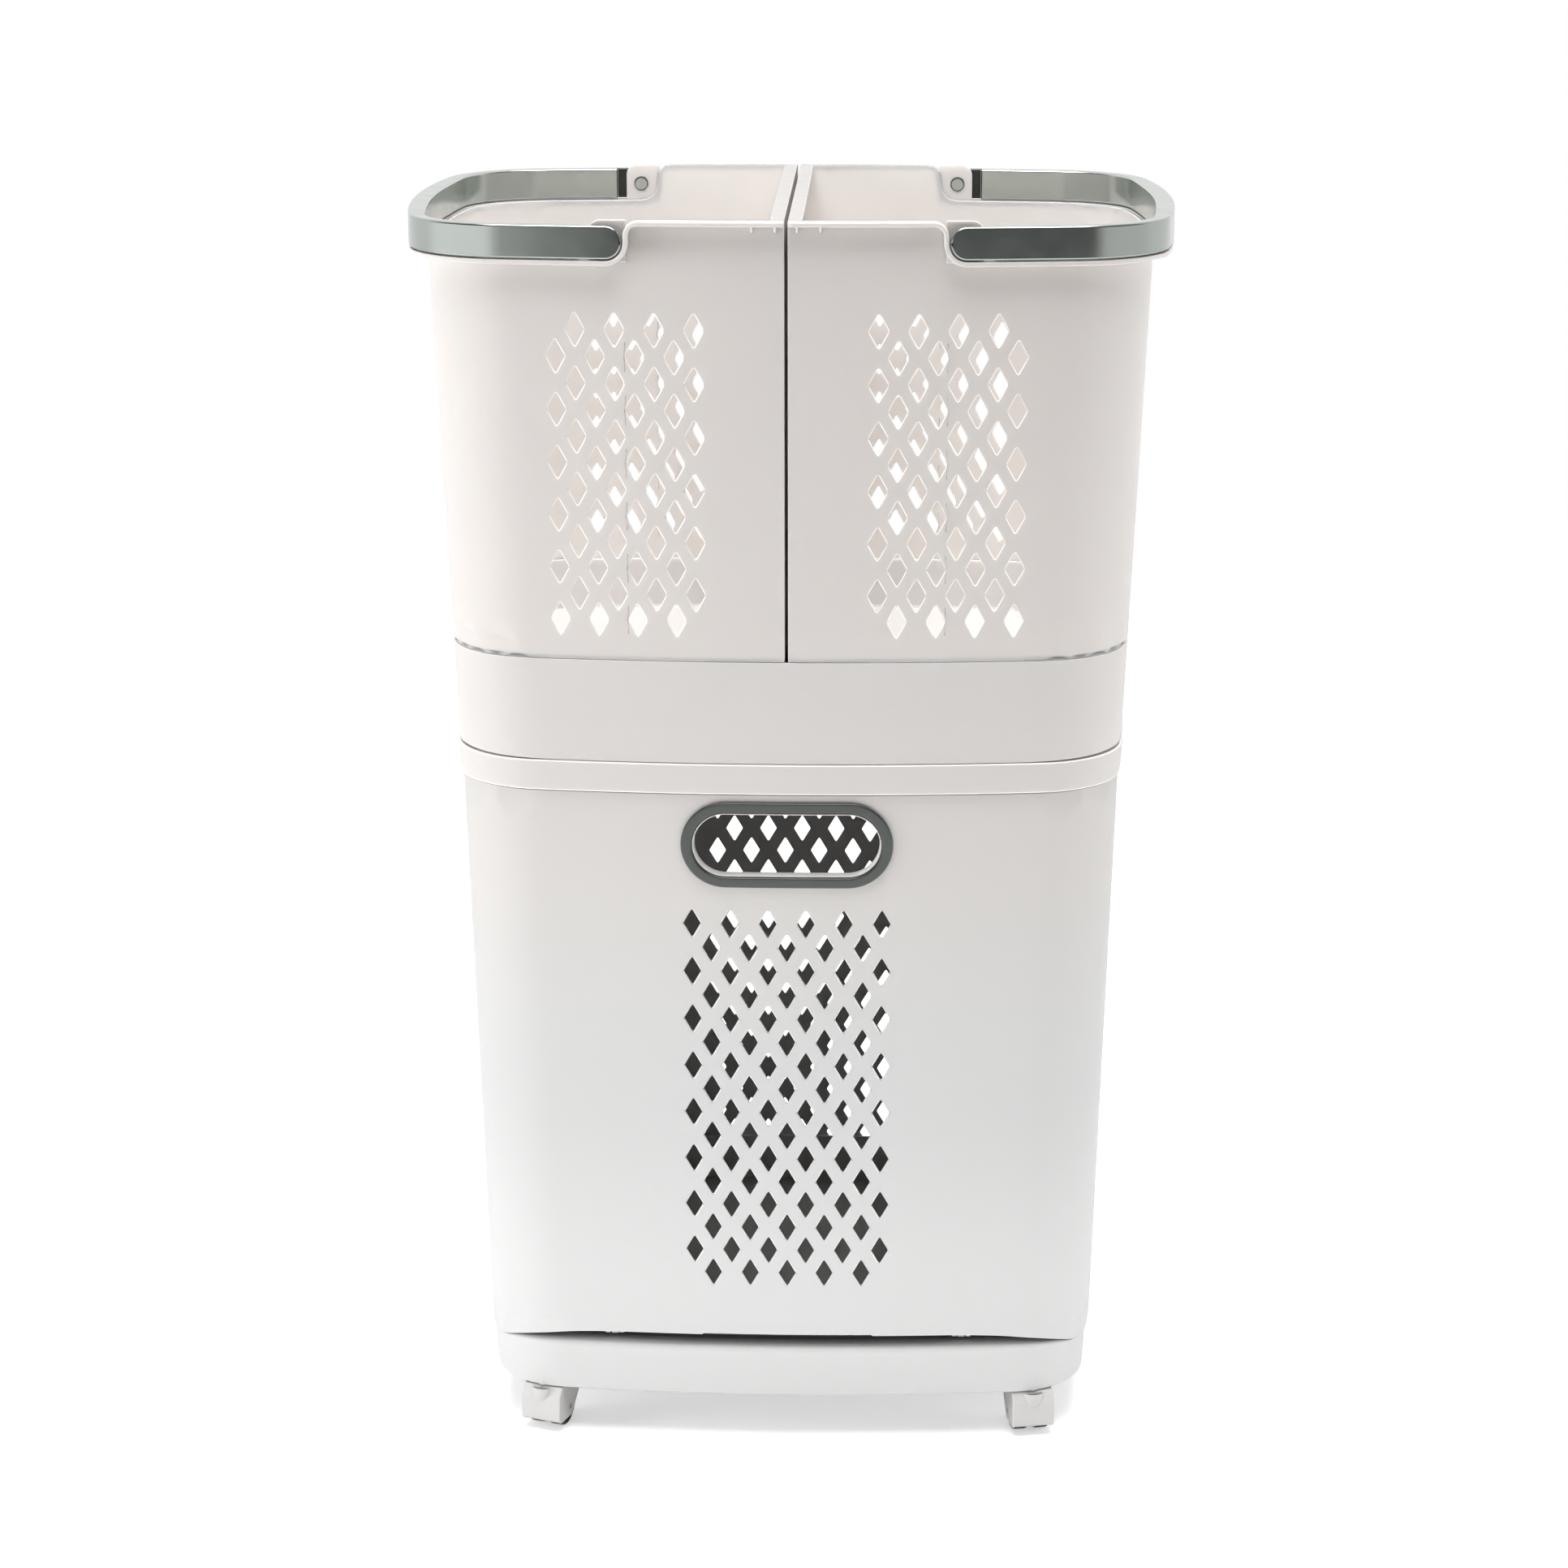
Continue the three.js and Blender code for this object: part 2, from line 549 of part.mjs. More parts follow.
// Ears under the bucket's floor, in pairs, that the hinge pins pass through.
function bucketEars() {
	const { innerX, outerX, thick, half } = EAR;
	const ears = [];
	for (const side of [-1, 1]) {
		for (const x of [innerX + thick / 2, outerX - thick / 2]) {
			const across = [side * x - thick / 2, side * x + thick / 2];
			const plate = box(across, [HINGE.y - half, HINGE.y + half], [HINGE.z - half, BUCKET.floor + OVER]);
			ears.push(cut(plate, rodX(HINGE.holeRadius, WIDE, HINGE.y, HINGE.z)));
		}
	}
	return ears;
}

// The base: skirt, deck, a rim inside the housing, a low sill under the bin's front, caster sockets,
// ribs under the deck and hinge lugs.
function baseTray() {
	const skirt = layer(BASE, 0, BASE_WALL, BASE_BOTTOM, BASE_TOP);
	const deck = slab(BASE, BASE_WALL / 2, BASE_TOP - PLATE, BASE_TOP);
	const rimWall = layer(LOWER, WALL + GAP, WALL + GAP + BASE_WALL, BASE_TOP - OVER, BASE_RIM);
	const rim = rimWall.intersect(box(WIDE, [SEAM_Y + SEAM_GAP, FAR], HEIGHT));
	const strip = layer(BASE, 0, SILL_WIDTH, BASE_TOP - OVER, BASE_TOP + ARCH.sillRise + OVER);
	const sill = strip.intersect(alongY(archOutline(BASE_TOP, ARCH.sillRise), -FAR, ARCH_END_Y));
	const body = join(skirt, deck, rim, sill, ...baseRibs(), ...baseSockets(), ...hingeLugs());
	return cut(body, ...socketBores(), hingeBore());
}

function baseRibs() {
	const inside = slab(BASE, BASE_WALL / 2, RIB.bottom, BASE_TOP - OVER);
	const rib = (y) => inside.intersect(box(WIDE, [y - RIB.half, y + RIB.half], HEIGHT));
	return [rib(-RIB.y), rib(RIB.y)];
}

function baseSockets() {
	return CASTERS.map(({ x, y }) => rodZ(SOCKET_RADIUS, x, y, [BASE_BOTTOM, BASE_TOP - OVER]));
}

function socketBores() {
	const bore = STEM.radius + BORE_LOOSE;
	return CASTERS.map(({ x, y }) => rodZ(bore, x, y, [BASE_BOTTOM - OVER, STEM.top + OVER]));
}

function hingeLugs() {
	const reachY = [HINGE.y - LUG.half, HINGE.y + LUG.half];
	const right = box([LUG.fromX, LUG.toX], reachY, [BASE_TOP - OVER, LUG.top]);
	const left = box([-LUG.toX, -LUG.fromX], reachY, [BASE_TOP - OVER, LUG.top]);
	return [left, right];
}

function hingeBore() {
	return rodX(HINGE.holeRadius, [-FAR / 2, FAR / 2], HINGE.y, HINGE.z);
}

function hingePin() {
	const half = (PIN_X[1] - PIN_X[0]) / 2;
	return rodX(HINGE.radius, [-half, half], 0, 0);
}

// A caster's hood: closed in front and on top, open below and behind, with a web between the wheels.
function casterHood() {
	const { halfWidth, front, top, skin, web } = HOOD;
	const body = alongX(vectors(HOOD_OUTLINE), -halfWidth, halfWidth);
	const rightHollow = alongX(vectors(HOOD_HOLLOW), web / 2, halfWidth - skin);
	const leftHollow = alongX(vectors(HOOD_HOLLOW), skin - halfWidth, -web / 2);
	const boss = rodZ(BOSS.radius, 0, BOSS.proud - BOSS.radius, [BOSS.bottom, top]);
	const frontHalf = box(WIDE, [-FAR, front + skin], HEIGHT);
	const axleBore = rodX(AXLE.radius + AXLE_LOOSE, WIDE, AXLE.y, AXLE.z, AXLE.sides);
	const stemBore = rodZ(STEM.radius + BORE_LOOSE, 0, 0, [STEM.bottom - GAP, top + OVER]);
	const hood = cut(body, rightHollow, leftHollow).add(boss.intersect(frontHalf));
	return cut(hood, axleBore, stemBore);
}

function casterStem() {
	return rodZ(STEM.radius, 0, 0, [STEM.bottom, STEM.top]);
}

function casterAxle() {
	const half = HOOD.halfWidth - AXLE_END;
	return rodX(AXLE.radius, [-half, half], 0, 0, AXLE.sides);
}

// A plain wheel with a bore for the axle. One of its flats lies on the floor.
function casterWheel() {
	const half = WHEEL.width / 2;
	const bore = AXLE.radius + BORE_LOOSE;
	const radius = WHEEL.flat / Math.cos(Math.PI / WHEEL.sides);
	const profile = vectors([
		[bore, -half],
		[radius, -half],
		[radius, half],
		[bore, half],
		[bore, -half],
	]);
	const geometry = new THREE.LatheGeometry(profile, WHEEL.sides, Math.PI / WHEEL.sides);
	geometry.rotateZ(Math.PI / 2);
	return solid(geometry);
}

// A named mesh for a solid that was modelled about origin.
function piece(name, body, finish, origin = [0, 0, 0]) {
	const { vertProperties, triVerts } = body.getMesh();
	const geometry = new THREE.BufferGeometry();
	geometry.setAttribute('position', new THREE.BufferAttribute(new Float32Array(vertProperties), 3));
	geometry.setIndex(new THREE.BufferAttribute(new Uint32Array(triVerts), 1));
	geometry.translate(-origin[0], -origin[1], -origin[2]);
	geometry.computeVertexNormals();
	const mesh = new THREE.Mesh(geometry, new THREE.MeshStandardMaterial({ ...finish, flatShading: true }));
	mesh.name = name;
	mesh.position.set(...origin);
	return mesh;
}

// A basket with its handle. The handle's group sits on the pivot.
function basketGroup(side, turn) {
	const group = new THREE.Group();
	group.add(piece(`${side}_basket`, basket(), WHITE));
	group.add(piece(`${side}_handle`, handle(), GREY_GREEN, [PIVOT.x, 0, PIVOT.z]));
	group.rotation.z = turn;
	return group;
}

function binGroup() {
	const group = new THREE.Group();
	const hinge = [0, HINGE.y, HINGE.z];
	group.add(piece('bin_front', binFront(), WHITE, hinge));
	group.add(piece('bin_bucket', binBucket(), INNER_WHITE, hinge));
	group.add(piece('grip_ring', gripRing(), GREY_GREEN, hinge));
	return group;
}

function hingePins() {
	const group = new THREE.Group();
	for (const [side, sign] of [['left', -1], ['right', 1]]) {
		const pin = piece(`hinge_pin_${side}`, hingePin(), STEEL);
		pin.position.set((sign * (PIN_X[0] + PIN_X[1])) / 2, HINGE.y, HINGE.z);
		group.add(pin);
	}
	return group;
}

function casterGroup({ name, x, y, yaw }) {
	const group = new THREE.Group();
	group.position.set(x, y, 0);
	group.rotation.z = THREE.MathUtils.degToRad(yaw);
	group.add(piece(`caster_${name}_hood`, casterHood(), CASTER_GREY));
	group.add(piece(`caster_${name}_stem`, casterStem(), STEEL));
	const axle = piece(`caster_${name}_axle`, casterAxle(), STEEL);
	axle.position.set(0, AXLE.y, AXLE.z);
	group.add(axle);
	const wheelX = (HOOD.halfWidth - HOOD.skin + HOOD.web / 2) / 2;
	for (const [side, sign] of [['a', -1], ['b', 1]]) {
		const wheel = piece(`caster_${name}_wheel_${side}`, casterWheel(), TREAD_GREY);
		wheel.position.set(sign * wheelX, AXLE.y, AXLE.z);
		group.add(wheel);
	}
	return group;
}

const sorter = new THREE.Group();
sorter.add(piece('base_tray', baseTray(), WHITE));
sorter.add(piece('rear_housing', rearHousing(), WHITE));
sorter.add(piece('top_band', topBand(), WHITE));
sorter.add(piece('upper_tray', upperTray(), WHITE));
sorter.add(binGroup());
sorter.add(hingePins());
sorter.add(basketGroup('right', 0));
sorter.add(basketGroup('left', Math.PI));
CASTERS.forEach((place) => sorter.add(casterGroup(place)));

export default sorter;
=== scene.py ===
import math

import bmesh
import bpy
from mathutils import Matrix, Vector


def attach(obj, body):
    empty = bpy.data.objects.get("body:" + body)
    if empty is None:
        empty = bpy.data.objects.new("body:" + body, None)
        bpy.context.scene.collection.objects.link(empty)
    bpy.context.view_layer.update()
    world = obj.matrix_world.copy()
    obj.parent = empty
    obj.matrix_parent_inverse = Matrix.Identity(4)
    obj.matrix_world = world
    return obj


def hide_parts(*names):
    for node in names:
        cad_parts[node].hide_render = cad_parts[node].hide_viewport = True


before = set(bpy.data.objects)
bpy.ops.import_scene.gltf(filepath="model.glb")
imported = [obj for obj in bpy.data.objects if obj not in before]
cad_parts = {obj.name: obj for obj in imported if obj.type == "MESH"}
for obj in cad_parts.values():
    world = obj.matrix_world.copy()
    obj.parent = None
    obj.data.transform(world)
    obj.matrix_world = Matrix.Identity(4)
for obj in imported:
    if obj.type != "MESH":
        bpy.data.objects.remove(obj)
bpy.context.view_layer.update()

# camera: a long lens a little above the rim, turned slightly to the left
cameraSetup = {"place": (0.0594, -2.3582, 1.0540), "tilt": 15.207, "turn": 1.584, "lens": 84.38,
               "sensor": 36}
cameraData = bpy.data.cameras.new("studioCamera")
cameraData.lens = cameraSetup["lens"]
cameraData.sensor_width = cameraSetup["sensor"]
studioCamera = bpy.data.objects.new("studioCamera", cameraData)
studioCamera.location = cameraSetup["place"]
turned = (math.radians(90 - cameraSetup["tilt"]), 0, math.radians(cameraSetup["turn"]))
studioCamera.rotation_euler = turned
bpy.context.scene.collection.objects.link(studioCamera)
bpy.context.scene.camera = studioCamera
bpy.context.scene.view_settings.view_transform = "Standard"
print("camera set")

# body outlines: half sizes at height z, corner radius, and lean of the walls per metre of height
upper = {"z": 0.468, "halfWidth": 0.216, "halfDepth": 0.1531, "corner": 0.06, "sideLean": 0.0385,
         "frontLean": 0.0504}
lower = {"z": 0.446, "halfWidth": 0.2143, "halfDepth": 0.1503, "corner": 0.059, "sideLean": 0.0277,
         "frontLean": 0.0468}
foot = {"z": 0.066, "halfWidth": 0.2018, "halfDepth": 0.1325, "corner": 0.052, "sideLean": 0.06,
        "frontLean": 0.02}
rim = {"z": 0.791, "halfWidth": 0.2408, "halfDepth": 0.1784, "corner": 0.07, "sideLean": 0,
       "frontLean": 0}
bow = {"front": 1.25, "side": 0.7}

# stations count round the body from the middle of the front: they equal x as far as flat,
# a quarter is the middle of the side, and back is the middle of the back
flat, quarter = 0.15, 0.29
back = 2 * quarter


def cornerOf(plan):
    # the corner circle touches the bowed front and the bowed side from inside
    front = Vector((0, bow["front"] - plan["halfDepth"]))
    side = Vector((plan["halfWidth"] - bow["side"], 0))
    toFront = bow["front"] - plan["corner"]
    toSide = bow["side"] - plan["corner"]
    between = side - front
    gap = between.length
    along = (toFront ** 2 - toSide ** 2 + gap ** 2) / (2 * gap)
    across = math.sqrt(toFront ** 2 - along ** 2)
    unit = between / gap
    return Vector((front.x + unit.x * along - unit.y * across, front.y + unit.y * along + unit.x * across))


for plan in (upper, lower, foot, rim):
    plan["centre"] = cornerOf(plan)
    plan["frontTurn"] = math.atan2(plan["centre"].x, bow["front"] - plan["halfDepth"] - plan["centre"].y)
    plan["sideTurn"] = math.atan2(-plan["centre"].y, plan["centre"].x - plan["halfWidth"] + bow["side"])
    plan["frontLength"] = bow["front"] * plan["frontTurn"]
    plan["cornerLength"] = plan["corner"] * (math.pi / 2 - plan["frontTurn"] - plan["sideTurn"])
    plan["length"] = plan["frontLength"] + plan["cornerLength"] + bow["side"] * plan["sideTurn"]


def outlinePoint(plan, distance, inset):
    # a point of the right front quarter, by its distance along the outline
    if distance < plan["frontLength"]:
        turn = distance / bow["front"]
        radius = bow["front"] - inset
        return radius * math.sin(turn), bow["front"] - plan["halfDepth"] - radius * math.cos(turn)
    distance -= plan["frontLength"]
    if distance < plan["cornerLength"]:
        turn = plan["frontTurn"] - math.pi / 2 + distance / plan["corner"]
        radius = plan["corner"] - inset
        return plan["centre"].x + radius * math.cos(turn), plan["centre"].y + radius * math.sin(turn)
    turn = (distance - plan["cornerLength"]) / bow["side"] - plan["sideTurn"]
    radius = bow["side"] - inset
    return plan["halfWidth"] - bow["side"] + radius * math.cos(turn), radius * math.sin(turn)


def bend(plan, q, z, inset):
    # a point of the body at station q and height z, inset from the outside
    wide = 1 + (z - plan["z"]) * plan["sideLean"] / plan["halfWidth"]
    deep = 1 + (z - plan["z"]) * plan["frontLean"] / plan["halfDepth"]
    q = (q + back) % (2 * back) - back
    side = -1 if q < 0 else 1
    end = 1 if abs(q) <= quarter else -1
    near = abs(q) if end > 0 else back - abs(q)
    front = bow["front"]
    flatEnd = front * math.asin(flat / wide / front)
    if near <= flat:
        distance = front * math.asin(near / wide / front)
    else:
        distance = flatEnd + (near - flat) / (quarter - flat) * (plan["length"] - flatEnd)
    x, y = outlinePoint(plan, distance, inset)
    return Vector((side * x * wide, end * y * deep, z))


def stationAtY(plan, y, z, rounds=40):
    # the station on the right side where the wall is at y, found by halving the stretch
    low, high = flat, back - flat
    for _ in range(rounds):
        middle = (low + high) / 2
        if bend(plan, middle, z, 0).y < y:
            low = middle
        else:
            high = middle
    return low


# ---- helpers for meshes; in a flat sheet x is the station, y the height and z the way out ----
tiny = 1e-5
# joined bodies reach this far into each other
sunk = 0.0005
# steps round a whole ring
ringSteps = 240
# faces of the front and back whose normal has less depth than this belong to an edge
edgeTurn = 0.93


def sharpEdges(bm, degrees=50):
    limit = math.radians(degrees)
    return [e for e in bm.edges if len(e.link_faces) == 2 and e.calc_face_angle(0) > limit]


def edgesAlong(bm, axis, shortest=0.001):
    return [e for e in bm.edges if abs(e.verts[0].co[axis] - e.verts[1].co[axis]) > shortest]


def bevelEdges(bm, edges, radius, segments=3, clamp=False):
    bmesh.ops.bevel(bm, geom=edges, offset=radius, segments=segments, profile=0.5, affect="EDGES",
                    clamp_overlap=clamp, material=-1)


def roundEdges(bm, radius, segments=2, degrees=50, clamp=False):
    bevelEdges(bm, sharpEdges(bm, degrees), radius, segments, clamp)


def faceOut(bm):
    bmesh.ops.recalc_face_normals(bm, faces=bm.faces[:])


def move(bm, way):
    bmesh.ops.translate(bm, verts=bm.verts[:], vec=way)


def stretch(bm, way):
    bmesh.ops.scale(bm, verts=bm.verts[:], vec=way)


def sliceAt(bm, point, way, clear=False, reach=1e-6):
    everything = bm.verts[:] + bm.edges[:] + bm.faces[:]
    bmesh.ops.bisect_plane(bm, geom=everything, dist=reach, plane_co=point, plane_no=way, clear_outer=clear)


def newVerts(made):
    return [v for v in made if isinstance(v, bmesh.types.BMVert)]


def pull(bm, faces, way):
    # faces carried along one direction, with walls behind them
    made = bmesh.ops.extrude_face_region(bm, geom=faces)["geom"]
    bmesh.ops.translate(bm, verts=newVerts(made), vec=way)


def thicken(bm, depth):
    pull(bm, bm.faces[:], (0, 0, -depth))
    faceOut(bm)


def place(bm, where):
    for v in bm.verts:
        v.co = where(v.co)


def stationSheet(left, right, bottom, top, columns, rows):
    bm = bmesh.new()
    bmesh.ops.create_grid(bm, x_segments=columns, y_segments=rows, size=0.5)
    stretch(bm, (right - left, top - bottom, 1))
    move(bm, ((left + right) / 2, (bottom + top) / 2, 0))
    return bm


def latticeSpot(x, z):
    # the same spot for two points that differ by less than a tenth of a millimetre
    return round(x, 4), round(z, 4)


def openHoles(bm, cells, centres, holes):
    # each cell gets a smaller diamond with round tips, which is then taken out
    inset, sideShare, smallest = 0.0015, 0.6, 0.15
    bmesh.ops.inset_individual(bm, faces=cells, thickness=inset)
    tips, sides = [], []
    for cell in cells:
        middle = cell.calc_center_median()
        for v in cell.verts:
            away = v.co - middle
            upright = abs(away.y) > abs(away.x)
            (tips if upright else sides).append(v)
            reach = Vector((math.copysign(holes["width"] / 2, away.x), 0, 0))
            if upright:
                reach = Vector((0, math.copysign(holes["height"] / 2, away.y), 0))
            v.co = middle + reach
    for verts, offset in ((tips, holes["tip"]), (sides, holes["tip"] * sideShare)):
        bmesh.ops.bevel(bm, geom=verts, offset=offset, segments=3, profile=0.5, affect="VERTICES",
                        clamp_overlap=True, material=-1)
    found = []
    for face in bm.faces:
        spot = face.calc_center_bounds()
        if latticeSpot(spot.x, spot.y) in centres:
            if face.calc_area() > smallest * holes["width"] * holes["height"]:
                found.append(face)
    bmesh.ops.delete(bm, geom=found, context="FACES")
    return len(found)


def diamondSheet(edges, holes, rows):
    # a flat sheet of diamond cells between four edges, with a hole wherever rows says
    spare, cuts, longest = 6, 3, 0.6
    left, right, bottom, top = edges
    cellX, cellZ = holes["pitchX"] / 2, holes["pitchZ"]
    middleX = round(((left + right) / 2 - holes["x"]) / cellX / 2) * 2
    middleZ = round(((bottom + top) / 2 - holes["topZ"]) / cellZ / 2) * 2
    count = int((right - left) / cellX + (top - bottom) / cellZ) + spare
    count += 1 - count % 2
    bm = bmesh.new()
    bmesh.ops.create_grid(bm, x_segments=count, y_segments=count, size=count / math.sqrt(2))
    bmesh.ops.rotate(bm, verts=bm.verts[:], cent=(0, 0, 0), matrix=Matrix.Rotation(math.pi / 4, 3, "Z"))
    move(bm, (middleX, middleZ, 0))
    stretch(bm, (cellX, cellZ, 1))
    move(bm, (holes["x"], holes["topZ"], 0))
    for edge, way in ((left, (-1, 0, 0)), (right, (1, 0, 0)), (bottom, (0, -1, 0)), (top, (0, 1, 0))):
        sliceAt(bm, (edge, edge, 0), way, clear=True)
    centres = {latticeSpot(x, z) for x, z in rows}
    cells = []
    for face in bm.faces:
        spot = face.calc_center_median()
        if latticeSpot(spot.x, spot.y) in centres and len(face.verts) == 4:
            cells.append(face)
    made = openHoles(bm, cells, centres, holes)
    # the long cell edges are cut up so that the sheet can follow a corner
    long = [e for e in bm.edges if e.calc_length() > holes["pitchX"] * longest]
    bmesh.ops.subdivide_edges(bm, edges=long, cuts=cuts, use_grid_fill=True)
    print("  holes opened:", made, "of", len(centres))
    return bm


def disc(segments, radius=1, capped=True):
    bm = bmesh.new()
    bmesh.ops.create_circle(bm, cap_ends=capped, segments=segments, radius=radius)
    return bm


def turnOf(v):
    # how far round the circle a vertex lies, from 0 to 1
    return (math.atan2(v.co.y, v.co.x) / (2 * math.pi)) % 1


def sweepRings(bm, rings, where):
    # a circle becomes the first ring and each further ring is pulled out of the last:
    # where(turn, a, b) puts a ring's pair in place
    layer = bm.verts.layers.float.new("turn")
    for v in bm.verts:
        v[layer] = turnOf(v)
        v.co = where(v[layer], *rings[0])
    edges = bm.edges[:]
    for pair in rings[1:]:
        made = bmesh.ops.extrude_edge_only(bm, edges=edges)["geom"]
        edges = [e for e in made if isinstance(e, bmesh.types.BMEdge)]
        for v in newVerts(made):
            v.co = where(v[layer], *pair)


def sweepLoop(section, where, count):
    # a closed ring with a closed section
    bm = disc(count, capped=False)
    sweepRings(bm, [*section, section[0]], where)
    bmesh.ops.remove_doubles(bm, verts=bm.verts[:], dist=1e-6)
    faceOut(bm)
    return bm


def deckPlate(plan, z, inset, thickness):
    # a flat floor that fills the body's outline
    deck = disc(ringSteps)
    for v in deck.verts:
        v.co = bend(plan, turnOf(v) * 2 * back, z, inset)
    thicken(deck, thickness)
    return deck


def prism(points, way):
    # a block from a few corner points, carried along one direction
    bm = bmesh.new()
    face = bm.faces.new([bm.verts.new(p) for p in points])
    pull(bm, [face], way)
    faceOut(bm)
    return bm


def block(x, y, z, radius=0.0):
    bm = bmesh.new()
    bmesh.ops.create_cube(bm, size=1)
    stretch(bm, [high - low for low, high in (x, y, z)])
    move(bm, [(low + high) / 2 for low, high in (x, y, z)])
    if radius:
        roundEdges(bm, radius)
    return bm


def rod(radius, start, end, chamfer=0.0, sides=40):
    # a round bar between two points
    start, end = Vector(start), Vector(end)
    turn = (end - start).to_track_quat("Z", "Y").to_matrix().to_4x4()
    bm = bmesh.new()
    bmesh.ops.create_cone(bm, cap_ends=True, segments=sides, radius1=radius, radius2=radius,
                          depth=(end - start).length)
    if chamfer:
        roundEdges(bm, chamfer)
    bmesh.ops.transform(bm, matrix=Matrix.Translation((start + end) / 2) @ turn, verts=bm.verts[:])
    return bm


def merged(*parts):
    # several closed bodies in one mesh
    whole = bmesh.new()
    for part in parts:
        spare = bpy.data.meshes.new("spare")
        part.to_mesh(spare)
        part.free()
        whole.from_mesh(spare)
        bpy.data.meshes.remove(spare)
    return whole


def cutOut(bm, *cutters):
    # the body without the cutters
    objects = []
    for source in (bm, *cutters):
        mesh = bpy.data.meshes.new("spare")
        source.to_mesh(mesh)
        source.free()
        made = bpy.data.objects.new("spare", mesh)
        bpy.context.scene.collection.objects.link(made)
        objects.append(made)
    for cutter in objects[1:]:
        tool = objects[0].modifiers.new("cut", "BOOLEAN")
        tool.operation = "DIFFERENCE"
        tool.solver = "EXACT"
        tool.object = cutter
    bpy.context.view_layer.update()
    result = bmesh.new()
    result.from_object(objects[0], bpy.context.evaluated_depsgraph_get())
    for made in objects:
        mesh = made.data
        bpy.data.objects.remove(made)
        bpy.data.meshes.remove(mesh)
    return result


def markPaintedShadeAndTone(bm, rule):
    # painted light and shade, and the handle stub's own lighter tone: how much paler than the plain plastic
    # each face is painted; below zero it is painted darker
    layer = bm.faces.layers.float.new("paintedShadeAndTone")
    for face in bm.faces:
        face[layer] = rule(face.calc_center_median(), face.normal)


def finishPiece(name, bm, finish, body, *nodes):
    # finish names the material and the slot; angles over smoothUpTo degrees stay sharp
    smoothUpTo = 38
    bmesh.ops.dissolve_degenerate(bm, dist=1e-7, edges=bm.edges[:])
    mesh = bpy.data.meshes.new(name)
    bm.to_mesh(mesh)
    bm.free()
    piece = bpy.data.objects.new(name, mesh)
    bpy.context.scene.collection.objects.link(piece)
    mesh.materials.append(materials[finish])
    mesh.shade_smooth()
    mesh.set_sharp_from_angle(angle=math.radians(smoothUpTo))
    even = piece.modifiers.new("evenShading", "WEIGHTED_NORMAL")
    even.keep_sharp = True
    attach(piece, body)
    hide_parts(*nodes)
    print("  made", name, len(mesh.polygons), "faces")


# ---- materials ----
def setInputs(node, values):
    for label, value in values.items():
        node.inputs[label].default_value = value


def addNode(tree, kind, values=None, **settings):
    node = tree.nodes.new(kind)
    for key, value in settings.items():
        setattr(node, key, value)
    setInputs(node, values or {})
    return node


def mathNode(tree, operation, first, second):
    # each side is a plain number or another node's output
    node = addNode(tree, "ShaderNodeMath", operation=operation)
    for socket, value in zip(node.inputs, (first, second)):
        if isinstance(value, (int, float)):
            socket.default_value = value
        else:
            tree.links.new(value, socket)
    return node.outputs[0]


def fadeNode(tree, source, start, finish, low=0, high=1, kind="SMOOTHSTEP"):
    ends = {"From Min": start, "From Max": finish, "To Min": low, "To Max": high}
    fade = addNode(tree, "ShaderNodeMapRange", ends, interpolation_type=kind)
    tree.links.new(source, fade.inputs["Value"])
    return fade.outputs["Result"]


def newMaterial(name):
    material = bpy.data.materials.new(name)
    material.use_nodes = True
    tree = material.node_tree
    return material, tree, tree.nodes["Principled BSDF"], tree.links.new


def mouldedGrain():
    # fine moulded grain, slow tone drift and light handling marks, from one position
    group = bpy.data.node_groups.new("mouldedGrain", "ShaderNodeTree")
    group.interface.new_socket("Position", in_out="INPUT", socket_type="NodeSocketVector")
    rows = (("Grain Scale", 900, 3, "Height"), ("Drift Scale", 5, 2, "Drift"), ("Mark Scale", 60, 6, "Marks"))
    for scale, value, detail, out in rows:
        made = group.interface.new_socket(scale, in_out="INPUT", socket_type="NodeSocketFloat")
        made.default_value = value
        group.interface.new_socket(out, in_out="OUTPUT", socket_type="NodeSocketFloat")
    inside = addNode(group, "NodeGroupInput")
    outside = addNode(group, "NodeGroupOutput")
    for scale, value, detail, out in rows:
        noise = addNode(group, "ShaderNodeTexNoise", {"Detail": detail}, label=out)
        group.links.new(inside.outputs["Position"], noise.inputs["Vector"])
        group.links.new(inside.outputs[scale], noise.inputs["Scale"])
        group.links.new(noise.outputs["Fac"], outside.inputs[out])
    return group


grainGroup = mouldedGrain()
plastic = {"ior": 1.48, "glowRadius": (1, 0.95, 0.9), "glowScale": 0.004, "bumpDepth": 0.0002,
           "marks": (0.3, 0.7)}


